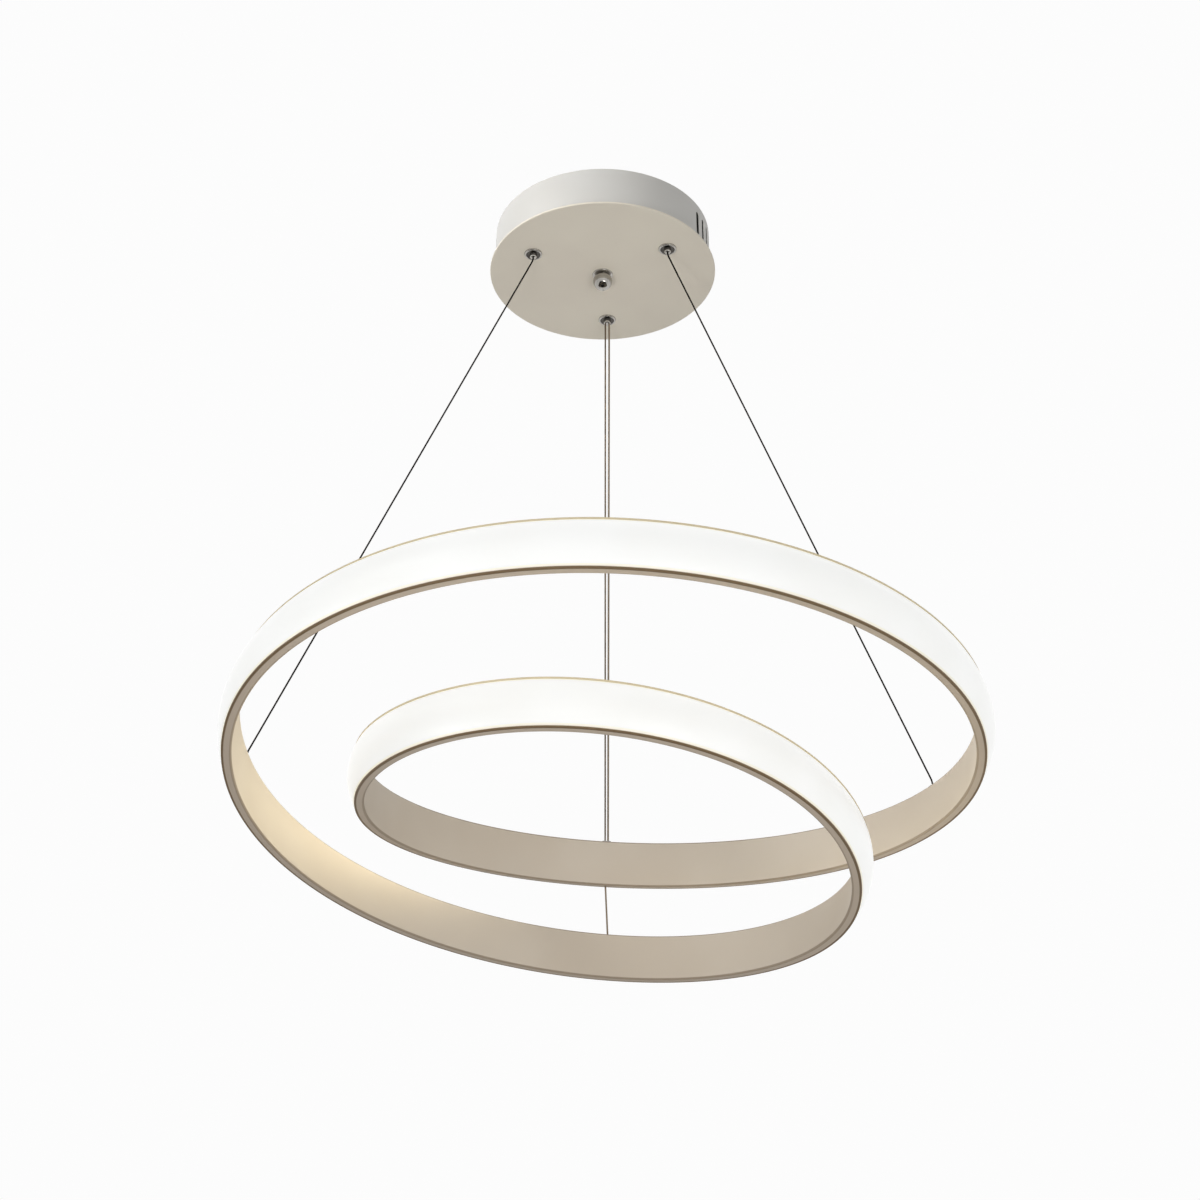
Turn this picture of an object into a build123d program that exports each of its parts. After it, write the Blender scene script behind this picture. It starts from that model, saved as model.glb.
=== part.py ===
from build123d import *
import math
import os

os.makedirs("parts", exist_ok=True)

# Frame: millimetres, +Z up, origin at the middle of the canopy's ceiling face, viewer on the -Y side.
# Turn angles are in degrees from the viewer's side (-Y) towards +X.

# Fits
SNUG = 0.05
SLIDE = 0.1
LOOSE = 0.25

# Canopy
PLATE_D = 200.0
PLATE_T = 2.0
PLATE_EDGE_R = 0.8
CANOPY_H = 41.5
DRUM_D = 190.5
SHEET_T = 1.0
LIP_CLEAR = 2.75
DRUM_EDGE_R = 0.8
VENT_W = 5.0
VENT_H = 24.0
VENT_COUNT = 6
VENT_START = 61.8
VENT_PITCH = 7.0
TAB_TURNS = (30, 150, 210, 330)
TAB_ARC = 8.0
TAB_H = 12.0
TAB_LEG = 11.0
TAB_T = 1.2

# Ceiling bracket, rod and cap nut
BRACKET_L = 160.0
BRACKET_W = 22.0
BRACKET_T = 2.0
BRACKET_SLOT_L = 20.0
BRACKET_SLOT_W = 5.0
BRACKET_SLOT_SPACING = 120.0
ROD_D = 6.0
ROD_TOP_GAP = 0.5
ROD_ENGAGE = 5.5
ROD_NUT_AF = 10.0
ROD_NUT_H = 5.0
FINIAL_D = 17.0
FINIAL_FOOT_D = 12.0
FINIAL_BORE_H = 6.5
WASHER_D = 18.0
WASHER_T = 1.2

# Driver
DRIVER_L = 124.0
DRIVER_W = 38.0
DRIVER_H = 28.0
DRIVER_Y = 31.0
DRIVER_WALL = 1.8
DRIVER_LID_T = 2.0
DRIVER_EAR = 10.0
DRIVER_EAR_W = 14.0
DRIVER_POST_H = 3.0
DRIVER_POST_W = 6.0
BOARD_T = 1.6
COMPONENT_H = 15.0
COMPONENT_XS = (-44, -26, 24, 42)
COMPONENT_R = 6.0
TRANSFORMER_L = 30.0
TRANSFORMER_W = 22.0
STUD_D = 3.0
STUD_NUT_AF = 5.5
STUD_NUT_H = 2.4
STUD_PROUD = 1.0

# Terminal block and mains leads
TERMINAL_L = 32.0
TERMINAL_W = 18.0
TERMINAL_H = 15.0
TERMINAL_Y = -52.0
TERMINAL_POLES = (-10, 0, 10)
TERMINAL_STUD_X = 5.0
TERMINAL_BORE_D = 4.0
TERMINAL_BORE_UP = 6.0
TERMINAL_SCREW_D = 3.6
TERMINAL_SCREW_Y = 4.5
LEAD_D = 2.2
LEAD_BEND = 5.0
LEAD_FRONT_YS = (-19, -14)
LEAD_SIDE_XS = (-80, -75)
LEAD_PORT_YS = (25, 20)

# Wires and cord
WIRE_D = 1.5
WIRE_BEND = 7.0
WIRE_STUB = 2.0
WIRE_TAIL_UP = 12.0
CORD_D = 1.7
CORD_INNER_BEND = 7.0
CORD_INNER_Z = -18.0
CORD_PORT_X = 40.0
PORT_GROMMET_R = 2.5
PORT_GROMMET_HEAD_R = 3.4
PORT_GROMMET_HEAD_H = 1.0

# Chrome bushes in the plate, with dark inserts
BUSH_RADIUS = 68.0
LEFT_TURN = -62.7
RIGHT_TURN = LEFT_TURN + 120
REAR_TURN = LEFT_TURN + 240
BUSH_FLANGE_D = 15.6
FLANGE_H = 1.6
FLANGE_EDGE_R = 0.7
BUSH_D = 14.0
BUSH_BORE_D = 12.4
BUSH_UP = 9.0
BUSH_NUT_AF = 19.0
BUSH_NUT_H = 4.0
INSERT_RECESS = 0.4
INSERT_WEB = 4.6
INSERT_HEAD_R = 6.9
INSERT_HEAD_H = 1.2

# Wire grippers in the left and right bushes
GRIPPER_R = 5.2
GRIPPER_H = 22.0
GUIDE_R = 3.2
GUIDE_H = 2.0
CONE_R = 4.3
CONE_H = 8.0
CAP_H = 3.0
NOSE_PROUD = 3.2
NOSE_EDGE_R = 1.6
COLLAR_R = 3.6
COLLAR_UP = 8.0
COLLAR_H = 2.0
BALL_D = 2.4
BALL_OUT = 2.1
BALL_UP = 5.0
SPRING_WIRE_D = 0.7
SPRING_R = 2.9
SPRING_TURNS = 5

# Rear ferrule for cord and wire
FERRULE_R = 3.3
FERRULE_PROUD = 3.5
FERRULE_EDGE_R = 1.0
FERRULE_SPREAD = 1.75
STOP_R = 2.3
STOP_H = 9.0
STOP_SCREW_D = 2.0

# Light ring: one closed loop of two turns, radius and height as waves of the half turn angle
RING_R = 246.0
RING_STEP = 64.0
RING_OVAL = 8.0
RING_OVAL_SIDE = 3.0
RING_SQUARE = 7.0
RING_DROP = 544.0
RING_CLIMB = 28.0
RING_CLIMB_SIDE = 36.0
RING_TILT = 8.0
RING_TILT_SIDE = 17.0
RING_TWIST = 7.0
RING_WAVE = 4.0
LOOP_RADIUS = {0: (RING_R, 0), 1: (RING_STEP, 0), 2: (RING_OVAL, RING_OVAL_SIDE), 4: (RING_SQUARE, 0)}
LOOP_HEIGHT = {
    0: (-RING_DROP, 0),
    1: (RING_CLIMB, RING_CLIMB_SIDE),
    2: (RING_TILT, -RING_TILT_SIDE),
    3: (0, -RING_TWIST),
    4: (RING_WAVE, 0),
}
BAND_H = 40.0
PROFILE_DEPTH = 8.0
PROFILE_WALL = 1.6
PROFILE_CORNER_R = 2.0
DIFFUSER_T = 1.5
DIFFUSER_FOOT = 1.4
DIFFUSER_BULGE = 5.5
STRIP_W = 10.0
STRIP_T = 1.0
LED_LINE_W = 4.0
LED_LINE_T = 0.8
LENGTHS = {"outer_right": 45, "inner_left": 225, "inner_right": 405, "outer_left": 585}
LENGTH_TURN = 180
STATIONS = 11
JOINER_TURN = 4.5
JOINER_W = 8.0
JOINER_T = 3.0
JOINER_UP = 12.0
GRUB_D = 3.0
GRUB_TURN = 2.5

# Fittings on the channel's flanges
LEFT_ANCHOR = 631.6
RIGHT_ANCHOR = 106.7
REAR_ANCHOR = 180.2
LINK_UPPER = 180.2
LINK_LOWER = 540.5
ANCHOR_OUT = 0.1
EYELET_R = 1.9
EYELET_HEAD_R = 2.7
EYELET_HEAD_H = 0.8
EYELET_TAIL = 0.6
CRIMP_R = 1.35
CRIMP_H = 5.0
CRIMP_FLOOR = 1.0
TWIN_SPREAD = 1.3
LEAD_END_UP = 4.0
LEAD_END_BEND = 1.0
LINK_D = 1.6
LINK_IN = 4.0

# Derived levels and radii
PLATE_Z = -CANOPY_H
FLOOR_Z = PLATE_Z + PLATE_T
DRUM_R = DRUM_D / 2
DRUM_INNER_R = DRUM_R - SHEET_T
WIRE_R = WIRE_D / 2
CORD_R = CORD_D / 2
FLANGE_Z = PLATE_Z - FLANGE_H
NOSE_Z = FLANGE_Z - NOSE_PROUD
FERRULE_Z = FLANGE_Z - FERRULE_PROUD
INSERT_Z = FLANGE_Z + INSERT_RECESS
SEAT_Z = INSERT_Z + INSERT_WEB
BUSH_TOP_Z = PLATE_Z + BUSH_UP
INSERT_TOP_Z = BUSH_TOP_Z + INSERT_HEAD_H
CHANNEL_BACK = PROFILE_WALL - PROFILE_DEPTH / 2
STRIP_FACE = CHANNEL_BACK + SLIDE + STRIP_T


def export(name, *solids):
    """Write one node, its solids side by side."""
    shape = solids[0] if len(solids) == 1 else Compound(children=list(solids))
    export_step(shape, f"parts/{name}.step")


def rod(radius, bottom, top, x=0.0, y=0.0):
    """Upright cylinder between two levels."""
    return Pos(x, y, (bottom + top) / 2) * Cylinder(radius, top - bottom)


def block(length, width, bottom, top, x=0.0, y=0.0):
    """Upright box between two levels."""
    return Pos(x, y, (bottom + top) / 2) * Box(length, width, top - bottom)


def hex_nut(across_flats, bore_r, bottom, top, x=0.0, y=0.0):
    """Plain hexagon nut between two levels."""
    hexagon = RegularPolygon(across_flats / 2, 6, major_radius=False)
    return Pos(x, y, bottom) * extrude(hexagon, top - bottom) - rod(bore_r, bottom, top, x, y)


def tube(points, radius, bend):
    """Round cord along straight runs joined by arcs of one radius."""
    route = FilletPolyline(*points, radius=bend)
    return sweep((route ^ 0) * Circle(radius), path=route)


def on_plate(turn):
    """Plan position of a fitting on the canopy's hole circle."""
    angle = math.radians(turn)
    return BUSH_RADIUS * math.sin(angle), -BUSH_RADIUS * math.cos(angle)


def swing(waves, turn, order):
    """Sum of waves of the half turn, or its derivative of the given order."""
    shift = order * math.pi / 2
    total = 0.0
    for count, (cosine, sine) in waves.items():
        phase = count * turn / 2 + shift
        total += (count / 2) ** order * (cosine * math.cos(phase) + sine * math.sin(phase))
    return total


def loop_plane(degrees):
    """Section plane of the band: x outward, y up its height, z against the run."""
    turn = math.radians(degrees)
    out = Vector(math.sin(turn), -math.cos(turn), 0)
    side = Vector(math.cos(turn), math.sin(turn), 0)
    up = Vector(0, 0, 1)
    radius, slope, bend = [swing(LOOP_RADIUS, turn, order) for order in range(3)]
    height, climb, lift = [swing(LOOP_HEIGHT, turn, order) for order in range(3)]
    run = out * slope + side * radius + up * climb
    curve = out * (bend - radius) + side * (2 * slope) + up * lift
    rise = run.cross(curve)
    return Plane(out * radius + up * height, x_dir=run.cross(rise), z_dir=-run)


def deck_plane(degrees):
    """Plane on the channel's top flange, its normal up the band's height."""
    band = loop_plane(degrees)
    middle = band.from_local_coords((ANCHOR_OUT, BAND_H / 2, 0))
    return Plane(middle, x_dir=band.x_dir, z_dir=band.y_dir)


def along_loop(section, start, stop, stations):
    """Loft a band section along the loop between two turn angles."""
    step = (stop - start) / (stations - 1)
    return loft([loop_plane(start + step * index) * section for index in range(stations)])


# Canopy shell
wall = rod(DRUM_R, FLOOR_Z, 0) - rod(DRUM_INNER_R, FLOOR_Z, -SHEET_T)
wall = fillet(wall.edges().group_by(Axis.Z)[-1], DRUM_EDGE_R)
wall -= rod(BRACKET_L / 2 + LIP_CLEAR, -SHEET_T, 0)
vent = Rot(90, 0, 0) * extrude(SlotOverall(VENT_H, VENT_W, rotation=90), PLATE_D)
for group in range(2):
    for index in range(VENT_COUNT):
        turn = VENT_START + VENT_PITCH * index + 180 * group
        wall -= Pos(0, 0, -CANOPY_H / 2) * Rot(0, 0, turn) * vent
export("canopy_drum", wall)

left_x, left_y = on_plate(LEFT_TURN)
right_x, right_y = on_plate(RIGHT_TURN)
rear_x, rear_y = on_plate(REAR_TURN)
wire_x = rear_x - FERRULE_SPREAD
cord_x = rear_x + FERRULE_SPREAD
bush_places = [Pos(left_x, left_y, 0), Pos(right_x, right_y, 0), Pos(rear_x, rear_y, 0)]

plate = rod(PLATE_D / 2, PLATE_Z, FLOOR_Z)
plate = fillet(plate.edges(), PLATE_EDGE_R)
plate -= rod(ROD_D / 2 + LOOSE, PLATE_Z, FLOOR_Z)
for place in bush_places:
    plate -= place * rod(BUSH_D / 2 + SLIDE, PLATE_Z, FLOOR_Z)
export("canopy_plate", plate)

tab_outer = DRUM_INNER_R - SLIDE
tab_leg = Pos(tab_outer - TAB_T / 2, FLOOR_Z + TAB_H / 2) * Rectangle(TAB_T, TAB_H)
tab_foot = Pos(tab_outer - TAB_LEG / 2, FLOOR_Z + TAB_T / 2) * Rectangle(TAB_LEG, TAB_T)
tab = revolve(Plane.XZ * (tab_leg + tab_foot), Axis.Z, revolution_arc=TAB_ARC)
export("drum_tabs", *[Rot(0, 0, turn - 90) * tab for turn in TAB_TURNS])

# Ceiling bracket, rod and cap nut
bracket = block(BRACKET_L, BRACKET_W, -BRACKET_T, 0)
bracket = fillet(bracket.edges().filter_by(Axis.Z), BRACKET_W / 4)
bracket -= rod(ROD_D / 2 + SNUG, -BRACKET_T, 0)
slot = Pos(0, 0, -BRACKET_T) * extrude(SlotOverall(BRACKET_SLOT_L, BRACKET_SLOT_W), BRACKET_T)
for side in (-1, 1):
    bracket -= Pos(side * BRACKET_SLOT_SPACING / 2, 0, 0) * slot
export("ceiling_bracket", bracket)

washer_z = PLATE_Z - WASHER_T
nut_top = -BRACKET_T
lock_top = nut_top - ROD_NUT_H
thread_r = ROD_D / 2 + SNUG
export("centre_rod", rod(ROD_D / 2, washer_z - ROD_ENGAGE, -ROD_TOP_GAP))
export(
    "rod_nuts",
    hex_nut(ROD_NUT_AF, thread_r, lock_top, nut_top),
    hex_nut(ROD_NUT_AF, thread_r, lock_top - ROD_NUT_H, lock_top),
)
export("finial_washer", rod(WASHER_D / 2, washer_z, PLATE_Z) - rod(thread_r, washer_z, PLATE_Z))

finial_r = FINIAL_D / 2
finial_z = washer_z - math.sqrt(finial_r**2 - (FINIAL_FOOT_D / 2) ** 2)
finial = split(Pos(0, 0, finial_z) * Sphere(finial_r), Plane.XY.offset(washer_z), Keep.BOTTOM)
export("finial_nut", finial - rod(thread_r, washer_z - FINIAL_BORE_H, washer_z))

# LED driver
lid_z = FLOOR_Z + DRIVER_H - DRIVER_LID_T
floor_top = FLOOR_Z + DRIVER_WALL
inner_l = DRIVER_L - 2 * DRIVER_WALL
inner_w = DRIVER_W - 2 * DRIVER_WALL
ear_x = DRIVER_L / 2 + DRIVER_EAR / 2
board_z = floor_top + DRIVER_POST_H
tray = block(DRIVER_L, DRIVER_W, FLOOR_Z, lid_z, 0, DRIVER_Y)
tray = fillet(tray.edges().filter_by(Axis.Z), DRIVER_WALL)
tray -= block(inner_l, inner_w, floor_top, lid_z, 0, DRIVER_Y)
for side in (-1, 1):
    tray += block(DRIVER_EAR, DRIVER_EAR_W, FLOOR_Z, floor_top, side * ear_x, DRIVER_Y)
    tray -= rod(STUD_D / 2 + SLIDE, FLOOR_Z, floor_top, side * ear_x, DRIVER_Y)
    for edge in (-1, 1):
        post_x = side * (inner_l - DRIVER_POST_W) / 2
        post_y = DRIVER_Y + edge * (inner_w - DRIVER_POST_W) / 2
        tray += block(DRIVER_POST_W, DRIVER_POST_W, floor_top, board_z, post_x, post_y)
lead_z = FLOOR_Z + TERMINAL_BORE_UP
for port_y in LEAD_PORT_YS:
    tray -= Pos(-DRIVER_L / 2, port_y, lead_z) * Rot(0, 90, 0) * Cylinder(LEAD_D / 2 + SNUG, 4 * DRIVER_WALL)
driver_back = DRIVER_Y + DRIVER_W / 2
tray -= Pos(CORD_PORT_X, driver_back, CORD_INNER_Z) * Rot(90, 0, 0) * Cylinder(
    PORT_GROMMET_R + SNUG, 4 * DRIVER_WALL
)
export("driver_base", tray)

port_grommet = rod(PORT_GROMMET_R, -DRIVER_WALL, 0) + rod(PORT_GROMMET_HEAD_R, 0, PORT_GROMMET_HEAD_H)
port_grommet -= rod(CORD_R + SNUG, -DRIVER_WALL, PORT_GROMMET_HEAD_H)
export("driver_grommet", Pos(CORD_PORT_X, driver_back, CORD_INNER_Z) * Rot(-90, 0, 0) * port_grommet)

lid = block(DRIVER_L, DRIVER_W, lid_z, lid_z + DRIVER_LID_T, 0, DRIVER_Y)
lid = fillet(lid.edges().filter_by(Axis.Z), DRIVER_WALL)
export("driver_cover", fillet(lid.faces().sort_by(Axis.Z)[-1].edges(), DRIVER_LID_T / 2))

board_top = board_z + BOARD_T
export("driver_board", block(inner_l - 1, inner_w - 1, board_z, board_top, 0, DRIVER_Y))
components = [block(TRANSFORMER_L, TRANSFORMER_W, board_top, board_top + COMPONENT_H, 0, DRIVER_Y)]
for component_x in COMPONENT_XS:
    components.append(rod(COMPONENT_R, board_top, board_top + COMPONENT_H, component_x, DRIVER_Y))
export("driver_components", *components)

# Terminal block, its fixings and the mains leads
terminal_top = FLOOR_Z + TERMINAL_H
terminal = block(TERMINAL_L, TERMINAL_W, FLOOR_Z, terminal_top, 0, TERMINAL_Y)
terminal -= rod(STUD_D / 2 + SLIDE, FLOOR_Z, terminal_top, TERMINAL_STUD_X, TERMINAL_Y)
screw_foot = lead_z + LEAD_D / 2 + SLIDE
terminal_screws = []
for pole in TERMINAL_POLES:
    terminal -= Pos(pole, TERMINAL_Y, lead_z) * Rot(90, 0, 0) * Cylinder(TERMINAL_BORE_D / 2, TERMINAL_W)
    for side in (-1, 1):
        screw_y = TERMINAL_Y + side * TERMINAL_SCREW_Y
        terminal -= rod(TERMINAL_SCREW_D / 2 + SNUG, lead_z, terminal_top, pole, screw_y)
        terminal_screws.append(rod(TERMINAL_SCREW_D / 2, screw_foot, terminal_top - 1, pole, screw_y))
export("terminal_block", terminal)
export("terminal_screws", *terminal_screws)

studs = []
stud_nuts = []
for stud_x, stud_y, seat in (
    (-ear_x, DRIVER_Y, floor_top),
    (ear_x, DRIVER_Y, floor_top),
    (TERMINAL_STUD_X, TERMINAL_Y, terminal_top),
):
    nut_z = seat + STUD_NUT_H
    studs.append(rod(STUD_D / 2, FLOOR_Z, nut_z + STUD_PROUD, stud_x, stud_y))
    stud_nuts.append(hex_nut(STUD_NUT_AF, STUD_D / 2 + SNUG, seat, nut_z, stud_x, stud_y))
export("weld_studs", *studs)
export("stud_nuts", *stud_nuts)

leads = []
for pole, front_y, side_x, port_y in zip(TERMINAL_POLES, LEAD_FRONT_YS, LEAD_SIDE_XS, LEAD_PORT_YS):
    lead_route = [
        (pole, TERMINAL_Y, lead_z),
        (pole, front_y, lead_z),
        (side_x, front_y, lead_z),
        (side_x, port_y, lead_z),
        (DRIVER_WALL - DRIVER_L / 2, port_y, lead_z),
    ]
    leads.append(tube(lead_route, LEAD_D / 2, LEAD_BEND))
export("mains_leads", *leads)

# Bushes with their nuts and inserts
bush = rod(BUSH_FLANGE_D / 2, FLANGE_Z, PLATE_Z)
bush = fillet(bush.edges().group_by(Axis.Z)[0], FLANGE_EDGE_R) + rod(BUSH_D / 2, PLATE_Z, BUSH_TOP_Z)
bush -= rod(BUSH_BORE_D / 2, FLANGE_Z, BUSH_TOP_Z)
bush_nut = hex_nut(BUSH_NUT_AF, BUSH_D / 2 + SNUG, FLOOR_Z, FLOOR_Z + BUSH_NUT_H)
export("plate_bushes", *[place * bush for place in bush_places])
export("bush_nuts", *[place * bush_nut for place in bush_places])

sleeve = rod(BUSH_BORE_D / 2 - SNUG, INSERT_Z, BUSH_TOP_Z)
sleeve += rod(INSERT_HEAD_R, BUSH_TOP_Z, INSERT_TOP_Z)
gripper_insert = sleeve - rod(GUIDE_R, INSERT_Z, SEAT_Z) - rod(GRIPPER_R + SNUG, SEAT_Z, INSERT_TOP_Z)
export("gripper_inserts", *[place * gripper_insert for place in bush_places[:2]])
export("rear_insert", bush_places[2] * (sleeve - rod(FERRULE_R + SNUG, INSERT_Z, INSERT_TOP_Z)))

# Wire grippers: body, cap, release plunger with its balls, return spring
guide_z = SEAT_Z + GUIDE_H
cone_z = guide_z + CONE_H
body_top = SEAT_Z + GRIPPER_H
cap_z = body_top - CAP_H
collar_z = SEAT_Z + COLLAR_UP
collar_top = collar_z + COLLAR_H
ball_z = SEAT_Z + BALL_UP
nose_r = GUIDE_R - SLIDE

gripper = rod(GRIPPER_R, SEAT_Z, body_top) - rod(GUIDE_R, SEAT_Z, guide_z)
gripper -= Pos(0, 0, (guide_z + cone_z) / 2) * Cone(GUIDE_R, CONE_R, CONE_H)
gripper -= rod(CONE_R, cone_z, body_top)
cap = rod(CONE_R - SNUG, cap_z, body_top) - rod(WIRE_R + LOOSE, cap_z, body_top)

nose = rod(nose_r, NOSE_Z, collar_z)
nose = fillet(nose.edges().group_by(Axis.Z)[0], NOSE_EDGE_R)
plunger = nose + rod(COLLAR_R, collar_z, collar_top) - rod(WIRE_R + SLIDE, NOSE_Z, collar_top)
ball_pocket = Pos(0, 0, ball_z) * Rot(0, 90, 0) * Cylinder(
    BALL_D / 2 + SLIDE, 2 * nose_r, align=(Align.CENTER, Align.CENTER, Align.MIN)
)
ball_turns = (0, 120, 240)
for turn in ball_turns:
    plunger -= Rot(0, 0, turn) * ball_pocket
balls = [Rot(0, 0, turn) * Pos(BALL_OUT, 0, ball_z) * Sphere(BALL_D / 2) for turn in ball_turns]

spring_h = cap_z - collar_top - SPRING_WIRE_D - 2 * SLIDE
coil = Pos(0, 0, collar_top + SPRING_WIRE_D / 2 + SLIDE) * Helix(spring_h / SPRING_TURNS, spring_h, SPRING_R)
spring = sweep((coil ^ 0) * Circle(SPRING_WIRE_D / 2), path=coil, is_frenet=True)

for side, place in zip(("left", "right"), bush_places):
    export(f"{side}_gripper", place * gripper)
    export(f"{side}_plunger", place * plunger)
    export(f"{side}_balls", *[place * ball for ball in balls])
    export(f"{side}_spring", place * spring)
export("gripper_caps", *[place * cap for place in bush_places[:2]])

# Rear ferrule with the wire's stop
ferrule = rod(FERRULE_R, FERRULE_Z, INSERT_TOP_Z)
ferrule = fillet(ferrule.edges().group_by(Axis.Z)[0], FERRULE_EDGE_R)
ferrule -= rod(WIRE_R + SNUG, FERRULE_Z, INSERT_TOP_Z, -FERRULE_SPREAD)
ferrule -= rod(CORD_R + SNUG, FERRULE_Z, INSERT_TOP_Z, FERRULE_SPREAD)
export("rear_ferrule", bush_places[2] * ferrule)

stop_top = INSERT_TOP_Z + STOP_H
screw_l = STOP_R - WIRE_R
screw_at = Pos(wire_x - WIRE_R - SNUG - screw_l / 2, rear_y, INSERT_TOP_Z + STOP_H / 2) * Rot(0, 90, 0)
stop = rod(STOP_R, INSERT_TOP_Z, stop_top, wire_x, rear_y)
stop -= rod(WIRE_R + SNUG, INSERT_TOP_Z, stop_top, wire_x, rear_y)
export("rear_wire_stop", stop - screw_at * Cylinder(STOP_SCREW_D / 2 + SNUG, screw_l))
export("rear_stop_screw", screw_at * Cylinder(STOP_SCREW_D / 2, screw_l))

# Wires and cord inside the canopy
export(
    "wire_tails",
    rod(WIRE_R, NOSE_Z, body_top + WIRE_TAIL_UP, left_x, left_y),
    rod(WIRE_R, NOSE_Z, body_top + WIRE_TAIL_UP, right_x, right_y),
    rod(WIRE_R, FERRULE_Z, stop_top + WIRE_TAIL_UP, wire_x, rear_y),
)
inner_route = [
    (cord_x, rear_y, FERRULE_Z),
    (cord_x, rear_y, CORD_INNER_Z),
    (CORD_PORT_X, rear_y, CORD_INNER_Z),
    (CORD_PORT_X, driver_back - DRIVER_WALL, CORD_INNER_Z),
]
export("cord_inner_run", tube(inner_route, CORD_R, CORD_INNER_BEND))

# Free runs of the wires and the cord, from the canopy to the ring
eyelet_foot = -PROFILE_WALL - EYELET_TAIL
crimp_foot = eyelet_foot - CRIMP_H
wire_end_z = crimp_foot + CRIMP_FLOOR
for name, x, y, exit_z, anchor, along in (
    ("left_wire", left_x, left_y, NOSE_Z, LEFT_ANCHOR, 0),
    ("right_wire", right_x, right_y, NOSE_Z, RIGHT_ANCHOR, 0),
    ("rear_wire", wire_x, rear_y, FERRULE_Z, REAR_ANCHOR, TWIN_SPREAD),
):
    deck = deck_plane(anchor)
    wire_route = [
        (x, y, exit_z),
        (x, y, exit_z - WIRE_STUB),
        deck.from_local_coords((0, along, EYELET_HEAD_H + WIRE_STUB)),
        deck.from_local_coords((0, along, wire_end_z)),
    ]
    export(name, tube(wire_route, WIRE_R, WIRE_BEND))
rear_deck = deck_plane(REAR_ANCHOR)
cord_route = [
    (cord_x, rear_y, FERRULE_Z),
    (cord_x, rear_y, FERRULE_Z - WIRE_STUB),
    rear_deck.from_local_coords((0, -TWIN_SPREAD, EYELET_HEAD_H + WIRE_STUB)),
    rear_deck.from_local_coords((0, -TWIN_SPREAD, EYELET_HEAD_H)),
]
export("power_cord", tube(cord_route, CORD_R, WIRE_BEND))

# Band sections, drawn with x outward and y up
half_depth = PROFILE_DEPTH / 2
half_h = BAND_H / 2
channel = fillet(Rectangle(PROFILE_DEPTH, BAND_H).vertices().group_by(Axis.X)[0], PROFILE_CORNER_R)
channel -= Pos(PROFILE_WALL, 0) * Rectangle(PROFILE_DEPTH, BAND_H - 2 * PROFILE_WALL)

rim = half_h - PROFILE_WALL - SLIDE
skin = rim - DIFFUSER_T
foot = half_depth - DIFFUSER_FOOT
crown = half_depth + DIFFUSER_BULGE
diffuser_outline = [
    Polyline((foot, skin), (foot, rim), (half_depth, rim)),
    ThreePointArc((half_depth, rim), (crown, 0), (half_depth, -rim)),
    Polyline((half_depth, -rim), (foot, -rim), (foot, -skin), (half_depth, -skin)),
    ThreePointArc((half_depth, -skin), (crown - DIFFUSER_T, 0), (half_depth, skin)),
    Line((half_depth, skin), (foot, skin)),
]
lens = make_face([edge for part in diffuser_outline for edge in part.edges()])
strip = Pos(STRIP_FACE - STRIP_T / 2, 0) * Rectangle(STRIP_T, STRIP_W)
strip += Pos(STRIP_FACE + LED_LINE_T / 2, 0) * Rectangle(LED_LINE_T, LED_LINE_W)

# Holes in the flanges, and the link wire's straight line between the two far bands
link_top = loop_plane(LINK_UPPER).from_local_coords((ANCHOR_OUT, -half_h, 0))
link_foot = deck_plane(LINK_LOWER).origin
link_gap = (link_top - link_foot).length
link_plane = Plane(link_foot, z_dir=link_top - link_foot)
eyelet_hole = Cylinder(EYELET_R + SNUG, 4 * PROFILE_WALL)
twin_slot = SlotCenterToCenter(2 * TWIN_SPREAD, 2 * (EYELET_R + SNUG), rotation=90)
flange_holes = {
    LEFT_ANCHOR: deck_plane(LEFT_ANCHOR) * eyelet_hole,
    RIGHT_ANCHOR: deck_plane(RIGHT_ANCHOR) * eyelet_hole,
    REAR_ANCHOR: rear_deck * extrude(twin_slot, 2 * PROFILE_WALL, both=True),
    LINK_LOWER: link_plane * rod(LINK_D / 2 + LOOSE, -LINK_IN, LINK_IN),
}
link_upper_hole = link_plane * rod(LINK_D / 2 + LOOSE, link_gap - LINK_IN, link_gap + LINK_IN)

# Ring lengths
for name, start in LENGTHS.items():
    stop_turn = start + LENGTH_TURN
    profile = along_loop(channel, start, stop_turn, STATIONS)
    for anchor, hole in flange_holes.items():
        if start < anchor < stop_turn:
            profile -= hole
    if start < LINK_UPPER < stop_turn:
        profile -= link_upper_hole
    export(f"profile_{name}", profile)
    export(f"diffuser_{name}", along_loop(lens, start, stop_turn, STATIONS))
    export(f"led_strip_{name}", along_loop(strip, start, stop_turn, STATIONS))

# Joiners between the lengths
joiner_back = CHANNEL_BACK + SLIDE
joiner = Pos(joiner_back + JOINER_T / 2, JOINER_UP) * Rectangle(JOINER_T, JOINER_W)
grub_at = Pos(joiner_back + JOINER_T / 2, JOINER_UP, 0) * Rot(0, 90, 0)
joiner_bars = []
grubs = []
for start in LENGTHS.values():
    bar = along_loop(joiner, start - JOINER_TURN, start + JOINER_TURN, 3)
    for side in (-1, 1):
        grub_place = loop_plane(start + side * GRUB_TURN) * grub_at
        bar -= grub_place * Cylinder(GRUB_D / 2 + SNUG, 2 * JOINER_T)
        grubs.append(grub_place * Cylinder(GRUB_D / 2, JOINER_T))
    joiner_bars.append(bar)
export("joiner_bars", *joiner_bars)
export("joiner_screws", *grubs)

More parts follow.
